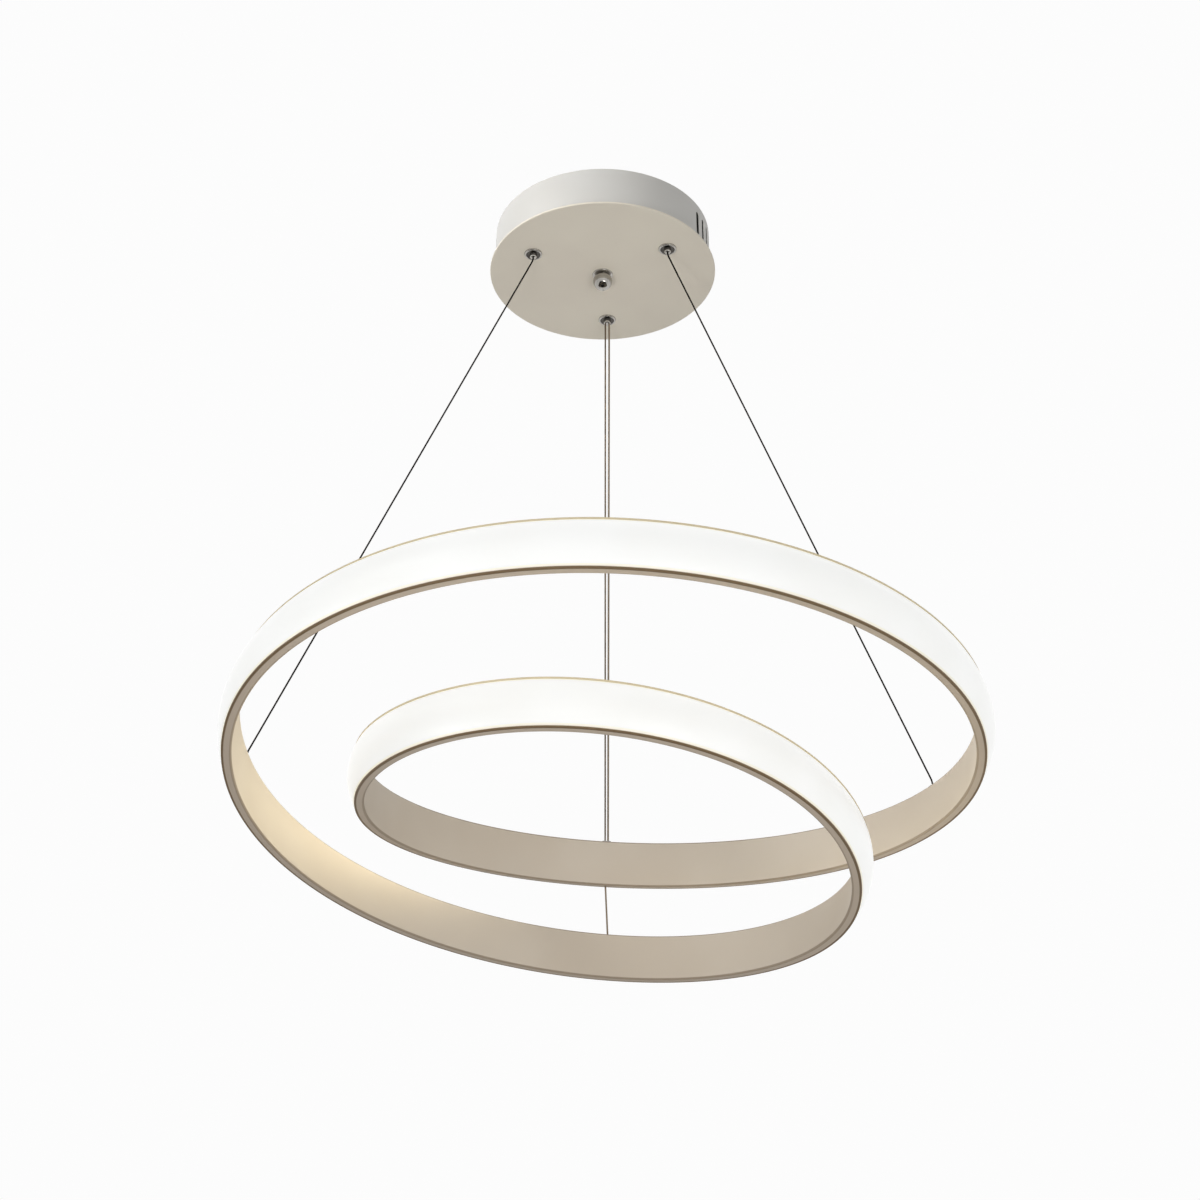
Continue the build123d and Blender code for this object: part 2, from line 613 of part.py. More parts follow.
# Ends of the wires and the cord in the channel
eyelet = rod(EYELET_HEAD_R, 0, EYELET_HEAD_H) + rod(EYELET_R, eyelet_foot, 0)
eyelet -= rod(WIRE_R + SLIDE, eyelet_foot, EYELET_HEAD_H)
export("wire_eyelets", deck_plane(LEFT_ANCHOR) * eyelet, deck_plane(RIGHT_ANCHOR) * eyelet)

twin_head = SlotCenterToCenter(2 * TWIN_SPREAD, 2 * EYELET_HEAD_R, rotation=90)
twin_barrel = SlotCenterToCenter(2 * TWIN_SPREAD, 2 * EYELET_R, rotation=90)
twin = extrude(twin_head, EYELET_HEAD_H) + extrude(twin_barrel, eyelet_foot)
twin -= rod(WIRE_R + SLIDE, eyelet_foot, EYELET_HEAD_H, 0, TWIN_SPREAD)
twin -= rod(CORD_R + SNUG, eyelet_foot, EYELET_HEAD_H, 0, -TWIN_SPREAD)
export("twin_eyelet", rear_deck * twin)

crimp = rod(CRIMP_R, crimp_foot, eyelet_foot) - rod(WIRE_R + SLIDE, wire_end_z, eyelet_foot)
export(
    "wire_crimps",
    deck_plane(LEFT_ANCHOR) * crimp,
    deck_plane(RIGHT_ANCHOR) * crimp,
    rear_deck * Pos(0, TWIN_SPREAD, 0) * crimp,
)
lead_end_z = LEAD_END_UP - half_h
lead_route = [
    (0, -TWIN_SPREAD, EYELET_HEAD_H),
    (0, -TWIN_SPREAD, lead_end_z),
    (STRIP_FACE + SNUG - ANCHOR_OUT, -TWIN_SPREAD, lead_end_z),
]
export("ring_lead", rear_deck * tube(lead_route, CORD_R, LEAD_END_BEND))

link_crimp_in = PROFILE_WALL + LOOSE
link_bore = rod(LINK_D / 2 + SNUG, -LINK_IN, link_gap + LINK_IN)
export("link_wire", link_plane * rod(LINK_D / 2, -LINK_IN, link_gap + LINK_IN))
export(
    "link_crimps",
    link_plane * (rod(CRIMP_R, -LINK_IN, -link_crimp_in) - link_bore),
    link_plane * (rod(CRIMP_R, link_gap + link_crimp_in, link_gap + LINK_IN) - link_bore),
)
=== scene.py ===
"""Looks of a double loop pendant lamp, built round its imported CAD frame. Lengths are in metres."""

import logging
import math
from dataclasses import dataclass
from enum import Enum
from typing import Any, Iterable, Sequence

import bmesh
import bpy
from mathutils import Matrix, Quaternion, Vector


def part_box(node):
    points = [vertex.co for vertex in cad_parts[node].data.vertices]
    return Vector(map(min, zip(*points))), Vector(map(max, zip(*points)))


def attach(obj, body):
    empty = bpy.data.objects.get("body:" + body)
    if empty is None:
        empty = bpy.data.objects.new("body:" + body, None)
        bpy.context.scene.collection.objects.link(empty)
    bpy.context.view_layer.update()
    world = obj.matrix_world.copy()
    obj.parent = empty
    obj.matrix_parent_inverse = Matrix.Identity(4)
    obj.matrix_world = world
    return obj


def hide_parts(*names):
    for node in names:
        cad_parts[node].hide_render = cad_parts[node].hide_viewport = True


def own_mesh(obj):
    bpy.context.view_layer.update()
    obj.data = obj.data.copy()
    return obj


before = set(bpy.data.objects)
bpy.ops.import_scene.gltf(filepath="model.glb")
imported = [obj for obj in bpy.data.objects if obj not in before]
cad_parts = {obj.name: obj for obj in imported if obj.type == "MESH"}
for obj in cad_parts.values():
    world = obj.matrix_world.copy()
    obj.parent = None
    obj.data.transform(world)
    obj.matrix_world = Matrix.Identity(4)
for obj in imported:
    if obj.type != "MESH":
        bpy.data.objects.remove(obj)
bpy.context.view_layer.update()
LOG = logging.getLogger("pendant")

Colour = tuple[float, float, float, float]
Point = tuple[float, float, float]
Spot = tuple[float, float]
Wave = tuple[int, float, float]
Sockets = dict[int | str, Any]


def tone(red: int, green: int, blue: int) -> Colour:
    """Turn a screen colour, with shares from 0 to 255, into the linear one that shaders take."""
    shares = (value / 255 for value in (red, green, blue))
    return (*(s / 12.92 if s <= 0.04045 else ((s + 0.055) / 1.055) ** 2.4 for s in shares), 1.0)


class Body(Enum):
    """CAD bodies that pieces ride on."""

    CANOPY = "canopy"
    RING = "light_ring"
    LEFT_NOSE = "left_release_nose"
    RIGHT_NOSE = "right_release_nose"


class Slide(Enum):
    """Joints that shorten a piece."""

    HEIGHT = "lamp_height"
    LEFT = "left_release"
    RIGHT = "right_release"


class Section(Enum):
    """Parts of the band that are drawn as a section and swept."""

    CHANNEL = "profile"
    LENS = "diffuser"


class Flow:
    """One output socket of a node tree that can be used in arithmetic."""

    def __init__(self, recipe: "Recipe", socket: bpy.types.NodeSocket) -> None:
        """Keep the socket and the recipe that it belongs to."""
        self.recipe = recipe
        self.socket = socket

    def _math(self, operation: str, first: Any, second: Any = 0.0) -> "Flow":
        """Add a Math node on two values."""
        return self.recipe.node("ShaderNodeMath", {"operation": operation}, {0: first, 1: second})

    def __add__(self, other: Any) -> "Flow":
        """Sum."""
        return self._math("ADD", self, other)

    def __radd__(self, other: Any) -> "Flow":
        """Sum with a number in front."""
        return self._math("ADD", other, self)

    def __sub__(self, other: Any) -> "Flow":
        """Difference."""
        return self._math("SUBTRACT", self, other)

    def __rsub__(self, other: Any) -> "Flow":
        """Difference from a number."""
        return self._math("SUBTRACT", other, self)

    def __mul__(self, other: Any) -> "Flow":
        """Product."""
        return self._math("MULTIPLY", self, other)

    def __rmul__(self, other: Any) -> "Flow":
        """Product with a number in front."""
        return self._math("MULTIPLY", other, self)

    def __abs__(self) -> "Flow":
        """Size without its sign."""
        return self._math("ABSOLUTE", self)

    def less(self, limit: float) -> "Flow":
        """1 where the value is under a limit, and 0 elsewhere."""
        return self._math("LESS_THAN", self, limit)

    def between(self, low: float, high: float) -> "Flow":
        """Smooth step from 0 at low to 1 at high."""
        limits = {"Value": self, "From Min": low, "From Max": high, "To Min": 0.0, "To Max": 1.0}
        return self.recipe.node("ShaderNodeMapRange", {"interpolation_type": "SMOOTHSTEP"}, limits)


class Recipe:
    """A node tree that a finish or the world writes its nodes into."""

    def __init__(self, tree: bpy.types.NodeTree) -> None:
        """Start from an empty tree."""
        self.tree = tree
        self.tree.nodes.clear()

    @staticmethod
    def _pick(sockets: Any, key: int | str) -> bpy.types.NodeSocket:
        """Find a socket by its identifier, or else by its place or name."""
        found = [socket for socket in sockets if socket.identifier == key]
        return found[0] if found else sockets[key]

    def node(
        self,
        kind: str,
        settings: dict[str, Any] | None = None,
        sockets: Sockets | None = None,
        output: int | str = 0,
    ) -> Flow:
        """Add a node.

        Args:
            kind: Blender's name of the node type.
            settings: Properties to set first.
            sockets: Values or flows for the inputs.
            output: Which output to hand back.

        Returns:
            The chosen output.
        """
        made = self.tree.nodes.new(kind)
        for key, value in (settings or {}).items():
            setattr(made, key, value)
        for key, value in (sockets or {}).items():
            socket = self._pick(made.inputs, key)
            if isinstance(value, Flow):
                self.tree.links.new(value.socket, socket)
            else:
                socket.default_value = value
        return Flow(self, self._pick(made.outputs, output) if made.outputs else made.inputs[0])

    def place(self) -> Flow:
        """Object coordinates."""
        return self.node("ShaderNodeTexCoord", output="Object")

    def stretched(self, factors: Point) -> Flow:
        """Object coordinates scaled along each axis."""
        parts = {0: self.place(), 1: factors}
        return self.node("ShaderNodeVectorMath", {"operation": "MULTIPLY"}, parts)

    def noise(self, vector: Flow, scale: float, detail: float = 2.0) -> Flow:
        """Soft noise on a vector."""
        parts = {"Vector": vector, "Scale": scale, "Detail": detail}
        return self.node("ShaderNodeTexNoise", None, parts)

    def lines(self, value: Flow, scale: float, detail: float = 3.0) -> Flow:
        """Noise along one value, which gives lines."""
        parts = {"W": value, "Scale": scale, "Detail": detail}
        return self.node("ShaderNodeTexNoise", {"noise_dimensions": "1D"}, parts)

    def attribute(self, name: str) -> Flow:
        """A value kept on the mesh."""
        return self.node("ShaderNodeAttribute", {"attribute_name": name}, output="Fac")

    def blend(self, share: Any, first: Any, second: Any) -> Flow:
        """Colour between two colours."""
        parts = {"Factor_Float": share, "A_Color": first, "B_Color": second}
        return self.node("ShaderNodeMix", {"data_type": "RGBA"}, parts, "Result_Color")

    def ray(self, kind: str) -> Flow:
        """1 for one kind of ray, and 0 for the others."""
        return self.node("ShaderNodeLightPath", output=f"Is {kind} Ray")

    def seen(self) -> Flow:
        """1 where the camera, a reflection or glass looks, and 0 for other light."""
        return self.ray("Camera") + self.ray("Glossy") + self.ray("Transmission")

    def bump(self, height: Flow, strength: float, distance: float = 0.0001) -> Flow:
        """Normal from a height."""
        parts = {"Strength": strength, "Distance": distance, "Height": height}
        return self.node("ShaderNodeBump", None, parts)


@dataclass(frozen=True)
class Finish:
    """A finish with a name of its own and two tones."""

    name: str
    colour: Colour
    shade: Colour

    def sockets(self, recipe: Recipe) -> Sockets:
        """Values and flows of the shader's sockets."""
        raise NotImplementedError

    def drift(self, recipe: Recipe, value: Flow, low: float = 0.3, high: float = 0.7) -> Flow:
        """Colour that goes from one tone to the other with a value."""
        return recipe.blend(value.between(low, high), self.colour, self.shade)

    def material(self) -> bpy.types.Material:
        """Make the material once, and hand it back each time.

        Returns:
            The material.
        """
        known = bpy.data.materials.get(self.name)
        if known:
            return known
        made = bpy.data.materials.new(self.name)
        made.use_nodes = True
        recipe = Recipe(made.node_tree)
        shader = recipe.node("ShaderNodeBsdfPrincipled", None, self.sockets(recipe))
        recipe.node("ShaderNodeOutputMaterial", None, {"Surface": shader})
        return made

    def coat(self, piece: bpy.types.Object) -> None:
        """Put the finish on a piece as its only material."""
        piece.data.materials.clear()
        piece.data.materials.append(self.material())


@dataclass(frozen=True)
class PowderPaint(Finish):
    """Baked paint on sheet metal, with a fine orange peel."""

    roughness: float = 0.45
    peel: float = 0.1
    peel_depth: float = 0.00012
    peel_scale: float = 1300.0
    cloud_scale: float = 14.0

    def sockets(self, recipe: Recipe) -> Sockets:
        """Faint clouds in the colour, a fine peel in gloss and relief.

        Args:
            recipe: The tree to write in.

        Returns:
            Values and flows by socket.
        """
        cloud = recipe.noise(recipe.place(), self.cloud_scale)
        peel = recipe.noise(recipe.place(), self.peel_scale, 3.0)
        return {
            "Base Color": self.drift(recipe, cloud, 0.25, 0.75),
            "Roughness": self.roughness + (cloud - 0.5) * 0.1 + (peel - 0.5) * 0.12,
            "Normal": recipe.bump(peel, self.peel, self.peel_depth),
        }


@dataclass(frozen=True)
class DrumPaint(PowderPaint):
    """Drum paint on the outside, with near-black painted shade inside, so that the vents look dark."""

    # Near-black colour inside the drum: painted shade that makes the vents look dark.
    inside_shade: Colour = tone(38, 37, 35)
    wall: float = 0.0948
    top: float = -0.0005

    def sockets(self, recipe: Recipe) -> Sockets:
        """Paint outside the wall's middle and on the top, and near-black painted shade elsewhere.

        Args:
            recipe: The tree to write in.

        Returns:
            Values and flows by socket.
        """
        made = super().sockets(recipe)
        flat = recipe.stretched((1.0, 1.0, 0.0))
        out = recipe.node("ShaderNodeVectorMath", {"operation": "LENGTH"}, {0: flat}, "Value")
        level = recipe.node("ShaderNodeSeparateXYZ", None, {"Vector": recipe.place()}, "Z")
        # Painted shade: inside the wall and under the lip the colour is near black.
        inside = out.less(self.wall) * level.less(self.top)
        return made | {"Base Color": recipe.blend(inside, made["Base Color"], self.inside_shade)}


@dataclass(frozen=True)
class FloorPaint(PowderPaint):
    """Pale floor that is lifted to white where it is looked at."""

    lift: float = 0.56
    dark: Colour = (0.0, 0.0, 0.0, 1.0)
    bright: Colour = (1.0, 1.0, 1.0, 1.0)

    def sockets(self, recipe: Recipe) -> Sockets:
        """Add the lift to the paint."""
        lifted = recipe.blend(recipe.seen(), self.dark, self.bright)
        return super().sockets(recipe) | {"Emission Color": lifted, "Emission Strength": self.lift}


@dataclass(frozen=True)
class ChannelSatin(Finish):
    """Satin coat on the extruded channel, with die lines along it, painted shade on its flanges and their
    edges, and a painted highlight along the lip.
    """

    # Painted shade on the flange faces.
    flange_shade: Colour
    # Painted shade on the flanges' outer part, next to the diffuser, and at their inner corner.
    arris_shade: Colour
    # Painted highlight along the flange lip next to the diffuser.
    lip_highlight: Colour
    # Share of that painted shade which falls at the inner corner.
    inner_shade_share: float = 0.45
    roughness: float = 0.58
    cloud_scale: float = 11.0
    line_scale: float = 60.0

    def sockets(self, recipe: Recipe) -> Sockets:
        """Colour by the place in the section, with painted shade on the flanges and their edges and a
        painted highlight on the lip; die lines in gloss and relief.

        Args:
            recipe: The tree to write in.

        Returns:
            Values and flows by socket.
        """
        depth = recipe.attribute("depth")
        height = recipe.attribute("height")
        cloud = recipe.noise(recipe.place(), self.cloud_scale)
        line = recipe.lines(height * 3.0 + depth, self.line_scale)
        flange = abs(height).between(0.925, 0.95)
        outside = depth.between(0.5, 0.62)
        inside = 1 - depth.between(-0.62, -0.45)
        lip = depth.between(0.9, 0.96) * height.between(0.9, 0.92)
        # Painted shade: the flange faces take a darker colour.
        body = recipe.blend(flange, self.drift(recipe, cloud), self.flange_shade)
        # Painted shade: darker still on the flanges' outer part and, at a share, at their inner corner.
        body = recipe.blend((outside + inside * self.inner_shade_share) * flange, body, self.arris_shade)
        return {
            # Painted highlight: a pale line along the lip.
            "Base Color": recipe.blend(lip, body, self.lip_highlight),
            "Roughness": self.roughness + (line - 0.5) * 0.16 + (cloud - 0.5) * 0.08,
            "Specular IOR Level": 0.3,
            "Normal": recipe.bump(line, strength=0.06),
        }


@dataclass(frozen=True)
class OpalLens(Finish):
    """Lit opal diffuser, even in the middle, with painted shade as a dimmer, creamier line along its rims.
    """

    glow: Colour
    face: Colour
    dim: Colour
    # Dimmer, creamier glow along the lens's rims: painted shade.
    rim: Colour
    strength: float
    roughness: float = 0.42
    patch_scale: float = 26.0
    haze_scale: float = 900.0

    def sockets(self, recipe: Recipe) -> Sockets:
        """Glow that lights the room, and a face that stays under white where the camera looks.

        Args:
            recipe: The tree to write in.

        Returns:
            Values and flows by socket.
        """
        across = abs(recipe.attribute("height"))
        patch = recipe.noise(recipe.place(), self.patch_scale)
        haze = recipe.noise(recipe.place(), self.haze_scale)
        face = recipe.blend(patch.between(0.3, 0.7), self.face, self.dim)
        lit = recipe.blend(recipe.ray("Camera"), self.glow, face)
        return {
            "Base Color": recipe.blend(patch, self.colour, self.shade),
            "Roughness": self.roughness + (haze - 0.5) * 0.1,
            # Painted shade: the glow drops to the rim colour along the lens's edges.
            "Emission Color": recipe.blend(across.between(0.9, 0.97), lit, self.rim),
            "Emission Strength": self.strength,
            "Normal": recipe.bump(haze, strength=0.04),
        }


@dataclass(frozen=True)
class BareMetal(Finish):
    """Plated, drawn or turned metal with fine scratches and handling marks."""

    roughness: float
    grain: Point = (900.0, 900.0, 900.0)
    relief: float = 0.03
    relief_depth: float = 0.00005
    smudge_scale: float = 160.0

    def sockets(self, recipe: Recipe) -> Sockets:
        """Scratches stretched by the grain, and smudges in colour and gloss.

        Args:
            recipe: The tree to write in.

        Returns:
            Values and flows by socket.
        """
        scratch = recipe.noise(recipe.stretched(self.grain), 1.0, 3.0)
        smudge = recipe.noise(recipe.place(), self.smudge_scale)
        return {
            "Base Color": self.drift(recipe, smudge, 0.3, 0.75),
            "Metallic": 1.0,
            "Roughness": self.roughness + (smudge - 0.5) * self.roughness + (scratch - 0.5) * 0.06,
            "Normal": recipe.bump(scratch, self.relief, self.relief_depth),
        }


@dataclass(frozen=True)
class ThreadedSteel(BareMetal):
    """Steel rod with a rolled thread round it."""

    pitch: float = 0.001
    thread_depth: float = 0.0004

    def sockets(self, recipe: Recipe) -> Sockets:
        """Bands up the rod in relief and in colour.

        Args:
            recipe: The tree to write in.

        Returns:
            Values and flows by socket.
        """
        bands = {"Vector": recipe.place(), "Scale": 0.314 / self.pitch}
        wave = recipe.node("ShaderNodeTexWave", {"bands_direction": "Z"}, bands)
        return super().sockets(recipe) | {
            "Base Color": recipe.blend(wave, self.shade, self.colour),
            "Normal": recipe.bump(wave, 0.5, self.thread_depth),
        }


@dataclass(frozen=True)
class MouldedPlastic(Finish):
    """Moulded plastic with a spark finish."""

    roughness: float = 0.4
    flow_marks: Point = (30.0, 30.0, 90.0)
    spark_scale: float = 1700.0

    def sockets(self, recipe: Recipe) -> Sockets:
        """Fine spark grain and slow flow marks.

        Args:
            recipe: The tree to write in.

        Returns:
            Values and flows by socket.
        """
        spark = recipe.noise(recipe.place(), self.spark_scale, 4.0)
        mark = recipe.noise(recipe.stretched(self.flow_marks), 1.0)
        return {
            "Base Color": self.drift(recipe, mark),
            "Roughness": self.roughness + (spark - 0.5) * 0.2,
            "Normal": recipe.bump(spark, strength=0.12),
        }


@dataclass(frozen=True)
class CordSheath(Finish):
    """Extruded sheath of a thin cord."""

    roughness: float = 0.4
    draw_marks: Point = (2600.0, 2600.0, 60.0)

    def sockets(self, recipe: Recipe) -> Sockets:
        """Drawn streaks along the cord and a soft gloss.

        Args:
            recipe: The tree to write in.

        Returns:
            Values and flows by socket.
        """
        streak = recipe.noise(recipe.stretched(self.draw_marks), 1.0, 3.0)
        return {
            "Base Color": self.drift(recipe, streak),
            "Roughness": self.roughness + (streak - 0.5) * 0.15,
            "Normal": recipe.bump(streak, strength=0.08),
        }


@dataclass(frozen=True)
class BoardLaminate(Finish):
    """Lacquered circuit board with copper runs under the lacquer."""

    cell: float
    roughness: float = 0.3
    weave_scale: float = 2400.0

    def sockets(self, recipe: Recipe) -> Sockets:
        """Runs between small lands.

        Args:
            recipe: The tree to write in.

        Returns:
            Values and flows by socket.
        """
        cells = {"Vector": recipe.place(), "Scale": 1.0 / self.cell, "Mortar Size": 0.03}
        run = recipe.node("ShaderNodeTexBrick", {"offset": 0.5}, cells, "Fac")
        weave = recipe.noise(recipe.place(), self.weave_scale)
        copper = run * 0.7 + (weave - 0.5) * 0.2
        return {
            "Base Color": recipe.blend(copper, self.colour, self.shade),
            "Roughness": self.roughness + (weave - 0.5) * 0.2 + run * 0.1,
            "Normal": recipe.bump(run, strength=0.2),
        }


ROPE_GRAIN = (1800.0, 1800.0, 260.0)
CANOPY_PAINT = DrumPaint("canopy_paint", tone(207, 206, 202), tone(202, 200, 195), 0.42)
PLATE_PAINT = PowderPaint("plate_paint", tone(230, 223, 208), tone(225, 217, 203), 0.5)
FLOOR_PAINT = FloorPaint("floor_paint", tone(242, 242, 241), tone(239, 239, 238), 0.8, 0.02)
CARD_FELT = PowderPaint("card_felt", tone(28, 27, 26), tone(20, 20, 19), 0.9)
CHANNEL_COAT = ChannelSatin(
    "channel_coat",
    colour=tone(211, 200, 184),
    shade=tone(207, 195, 178),
    # Painted shade on the flanges and their edges, and a painted highlight on the lip.
    flange_shade=tone(188, 174, 157),
    arris_shade=tone(116, 96, 71),
    lip_highlight=tone(214, 200, 168),
)
OPAL = OpalLens(
    "opal_diffuser",
    colour=tone(192, 192, 190),
    shade=tone(188, 187, 183),
    glow=(0.97, 0.89, 0.65, 1.0),
    face=(0.132, 0.134, 0.135, 1.0),
    dim=(0.128, 0.13, 0.13, 1.0),
    # Painted shade along the lens's rims.
    rim=(0.12, 0.112, 0.086, 1.0),
    strength=3.8,
)
CHROME = BareMetal("chrome_plate", tone(182, 179, 174), tone(162, 159, 154), 0.05)
DARK_CHROME = BareMetal("dark_chrome", tone(84, 81, 78), tone(66, 64, 61), 0.14)
ZINC = BareMetal("zinc_plate", tone(178, 180, 182), tone(150, 152, 155), 0.3, (300.0, 1500.0, 300.0))
BALL_STEEL = BareMetal("ball_steel", tone(190, 190, 192), tone(170, 170, 172), 0.12)
THREAD = ThreadedSteel("threaded_steel", tone(176, 176, 176), tone(96, 95, 94), 0.32)
BRASS = BareMetal("turned_brass", tone(206, 176, 112), tone(176, 144, 86), 0.25, (400.0, 400.0, 2200.0))
ALUMINIUM = BareMetal(
    "bar_aluminium", tone(196, 197, 198), tone(178, 179, 181), 0.34, (1500.0, 1500.0, 200.0)
)
ROPE_STEEL = BareMetal("rope_steel", tone(30, 25, 20), tone(22, 18, 15), 0.4, ROPE_GRAIN)
REAR_STEEL = BareMetal("rear_rope_steel", tone(118, 102, 84), tone(98, 84, 68), 0.36, ROPE_GRAIN)
CORD_SHEATH = CordSheath("cord_sheath", tone(138, 121, 101), tone(122, 106, 87))
LEAD_SHEATH = CordSheath("lead_sheath", tone(112, 78, 54), tone(92, 62, 42))
BLACK_NYLON = MouldedPlastic("black_nylon", tone(30, 29, 28), tone(22, 21, 21), 0.5)
WHITE_NYLON = MouldedPlastic("white_nylon", tone(232, 231, 226), tone(222, 220, 213), 0.42)
DARK_PARTS = MouldedPlastic("dark_parts", tone(46, 47, 52), tone(34, 34, 38), 0.35)
BOARD = BoardLaminate("board_green", tone(24, 88, 52), tone(74, 132, 78), 0.006)
STRIP_BOARD = BoardLaminate("led_strip_board", tone(240, 238, 230), tone(240, 206, 110), 0.01)

BAND_STARTS = {"outer_right": 45.0, "inner_left": 225.0, "inner_right": 405.0, "outer_left": 585.0}
CARRIED: tuple[tuple[Finish, tuple[str, ...]], ...] = (
    (
        ZINC,
        ("drum_tabs", "ceiling_bracket", "rod_nuts", "stud_nuts", "rear_stop_screw", "joiner_screws"),
    ),
    (THREAD, ("centre_rod", "weld_studs")),
    (WHITE_NYLON, ("driver_base", "driver_cover", "terminal_block")),
    (BOARD, ("driver_board",)),
    (DARK_PARTS, ("driver_components",)),
    (BLACK_NYLON, ("driver_grommet",)),
    (
        BRASS,
        ("terminal_screws", "bush_nuts", "left_gripper", "right_gripper", "gripper_caps", "rear_wire_stop"),
    ),
    (DARK_CHROME, ("gripper_inserts", "rear_insert")),
    (BALL_STEEL, ("left_balls", "right_balls")),
    (STRIP_BOARD, tuple(f"led_strip_{name}" for name in BAND_STARTS)),
    (ALUMINIUM, ("joiner_bars", "wire_crimps", "link_crimps")),
    (CHROME, ("wire_eyelets", "twin_eyelet")),
)


@dataclass(frozen=True)
class Corner:
    """Corner of a turned outline, at a radius and a level, with its rounding."""

    out: float
    up: float
    rounding: float = 0.0


class Workpiece:
    """A mesh in the making, from its first vertices to a piece on its body."""

    def __init__(self) -> None:
        """Start with nothing on the bench."""
        self.bm = bmesh.new()

    def bevel(self, geom: list[Any], offset: float, affect: str, segments: int) -> None:
        """Round vertices or edges.

        Args:
            geom: What to round.
            offset: Size of the rounding.
            affect: Whether geom holds vertices or edges.
            segments: Steps of the rounding.
        """
        bmesh.ops.bevel(
            self.bm, geom=geom, offset=offset, offset_type="OFFSET", affect=affect,
            segments=segments, profile=0.5, material=-1,
        )

    def spin(self, geom: list[Any], angle: float, steps: int, **options: Any) -> list[Any]:
        """Turn geometry about the upright axis, or one through another centre, and hand back its end."""
        settings = {"cent": (0, 0, 0), "axis": (0, 0, 1)} | options
        return bmesh.ops.spin(self.bm, geom=geom, angle=angle, steps=steps, **settings)["geom_last"]

    def move(self, matrix: Matrix) -> None:
        """Move all that is drawn."""
        bmesh.ops.transform(self.bm, matrix=matrix, verts=self.bm.verts)

    def chain(self, corners: Sequence[tuple[Vector, float]], closed: bool, segments: int) -> None:
        """Draw a line of corners and round them.

        Args:
            corners: Points and their rounding radii.
            closed: Whether the last corner joins the first.
            segments: Steps of each rounding.
        """
        points = [self.bm.verts.new(point) for point, _ in corners]
        ends = points[1:] + points[:1] if closed else points[1:]
        for first, second in zip(points, ends):
            self.bm.edges.new((first, second))
        for point, (_, rounding) in zip(points, corners):
            if rounding > 0:
                self.bevel([point], rounding, "VERTICES", segments)

    def arc(self, start: Vector, middle: Vector, end: Vector, steps: int) -> list[bmesh.types.BMVert]:
        """Draw an arc through three points of a plane with one level.

        Args:
            start: First point.
            middle: A point on the way.
            end: Last point.
            steps: Number of edges.

        Returns:
            The vertices at the two ends.
        """
        one, two = middle - start, end - start
        double = 2 * (one.x * two.y - one.y * two.x)
        across = (two.y * one.length_squared - one.y * two.length_squared) / double
        along = (one.x * two.length_squared - two.x * one.length_squared) / double
        centre = start + Vector((across, along, 0))
        turn = (start - centre).to_2d().angle_signed((end - centre).to_2d())
        first = self.bm.verts.new(start)
        return [first, self.spin([first], -turn, steps, cent=centre)[0]]

    def turned(
        self,
        outline: Sequence[Corner],
        place: Spot = (0.0, 0.0),
        segments: int = 64,
        rounding_steps: int = 4,
    ) -> None:
        """Turn an outline about an upright axis; one that starts on the axis is left open there.

        Args:
            outline: Corners of the outline.
            place: Where the axis stands.
            segments: Steps of the turn.
            rounding_steps: Steps of each rounded corner.
        """
        before = set(self.bm.verts)
        corners = [(Vector((c.out, 0, c.up)), c.rounding) for c in outline]
        self.chain(corners, outline[0].out > 0, rounding_steps)
        self.lathe([v for v in self.bm.verts if v not in before], place, segments)

    def plug(
        self, radius: float, low: float, top: float, place: Spot, segments: int, rounding: float = 0.0
    ) -> None:
        """Turn a solid round bar, with its lower edge rounded or sharp."""
        side = [Corner(radius, low, rounding), Corner(radius, top)]
        self.turned([Corner(0.0, low), *side, Corner(0.0, top)], place, segments)

    def lathe(self, outline: Iterable[bmesh.types.BMVert], place: Spot, segments: int) -> None:
        """Turn drawn vertices and their edges about the upright axis, and move them into place.

        Args:
            outline: Vertices of the outline in the plane of x and z.
            place: Where the axis stands.
            segments: Steps of the turn.
        """
        drawn = list(outline)
        kept = set(self.bm.verts) - set(drawn)
        edges = list({edge for v in drawn for edge in v.link_edges})
        self.spin(drawn + edges, math.tau, segments, use_merge=True)
        made = [v for v in self.bm.verts if v not in kept]
        bmesh.ops.remove_doubles(self.bm, verts=made, dist=1e-7)
        moved = [v for v in self.bm.verts if v not in kept]
        bmesh.ops.translate(self.bm, verts=moved, vec=(*place, 0))

    def cap_ends(self) -> None:
        """Close open ends with faces."""
        rims = [edge for edge in self.bm.edges if edge.is_boundary]
        bmesh.ops.holes_fill(self.bm, edges=rims, sides=0)

    def as_object(self, name: str) -> bpy.types.Object:
        """Write the mesh into a new object.

        Args:
            name: Name of the object.

        Returns:
            The object, at the origin.
        """
        bmesh.ops.recalc_face_normals(self.bm, faces=self.bm.faces)
        mesh = bpy.data.meshes.new(name)
        self.bm.to_mesh(mesh)
        self.bm.free()
        return put_up(name, mesh)


def put_up(name: str, data: bpy.types.ID) -> bpy.types.Object:
    """Link a mesh, curve, lamp or camera to the scene as an object at the origin.

    Args:
        name: Name of the object.
        data: What it shows.

    Returns:
        The object.
    """
    made = bpy.data.objects.new(name, data)
    bpy.context.scene.collection.objects.link(made)
    return made


def evaluated_mesh(source: bpy.types.Object) -> bpy.types.Mesh:
    """Mesh of an object with its modifiers or its curve worked out.

    Args:
        source: A mesh or curve object in the scene.

    Returns:
        A mesh of its own.
    """
    bpy.context.view_layer.update()
    graph = bpy.context.evaluated_depsgraph_get()
    return bpy.data.meshes.new_from_object(source.evaluated_get(graph), depsgraph=graph)


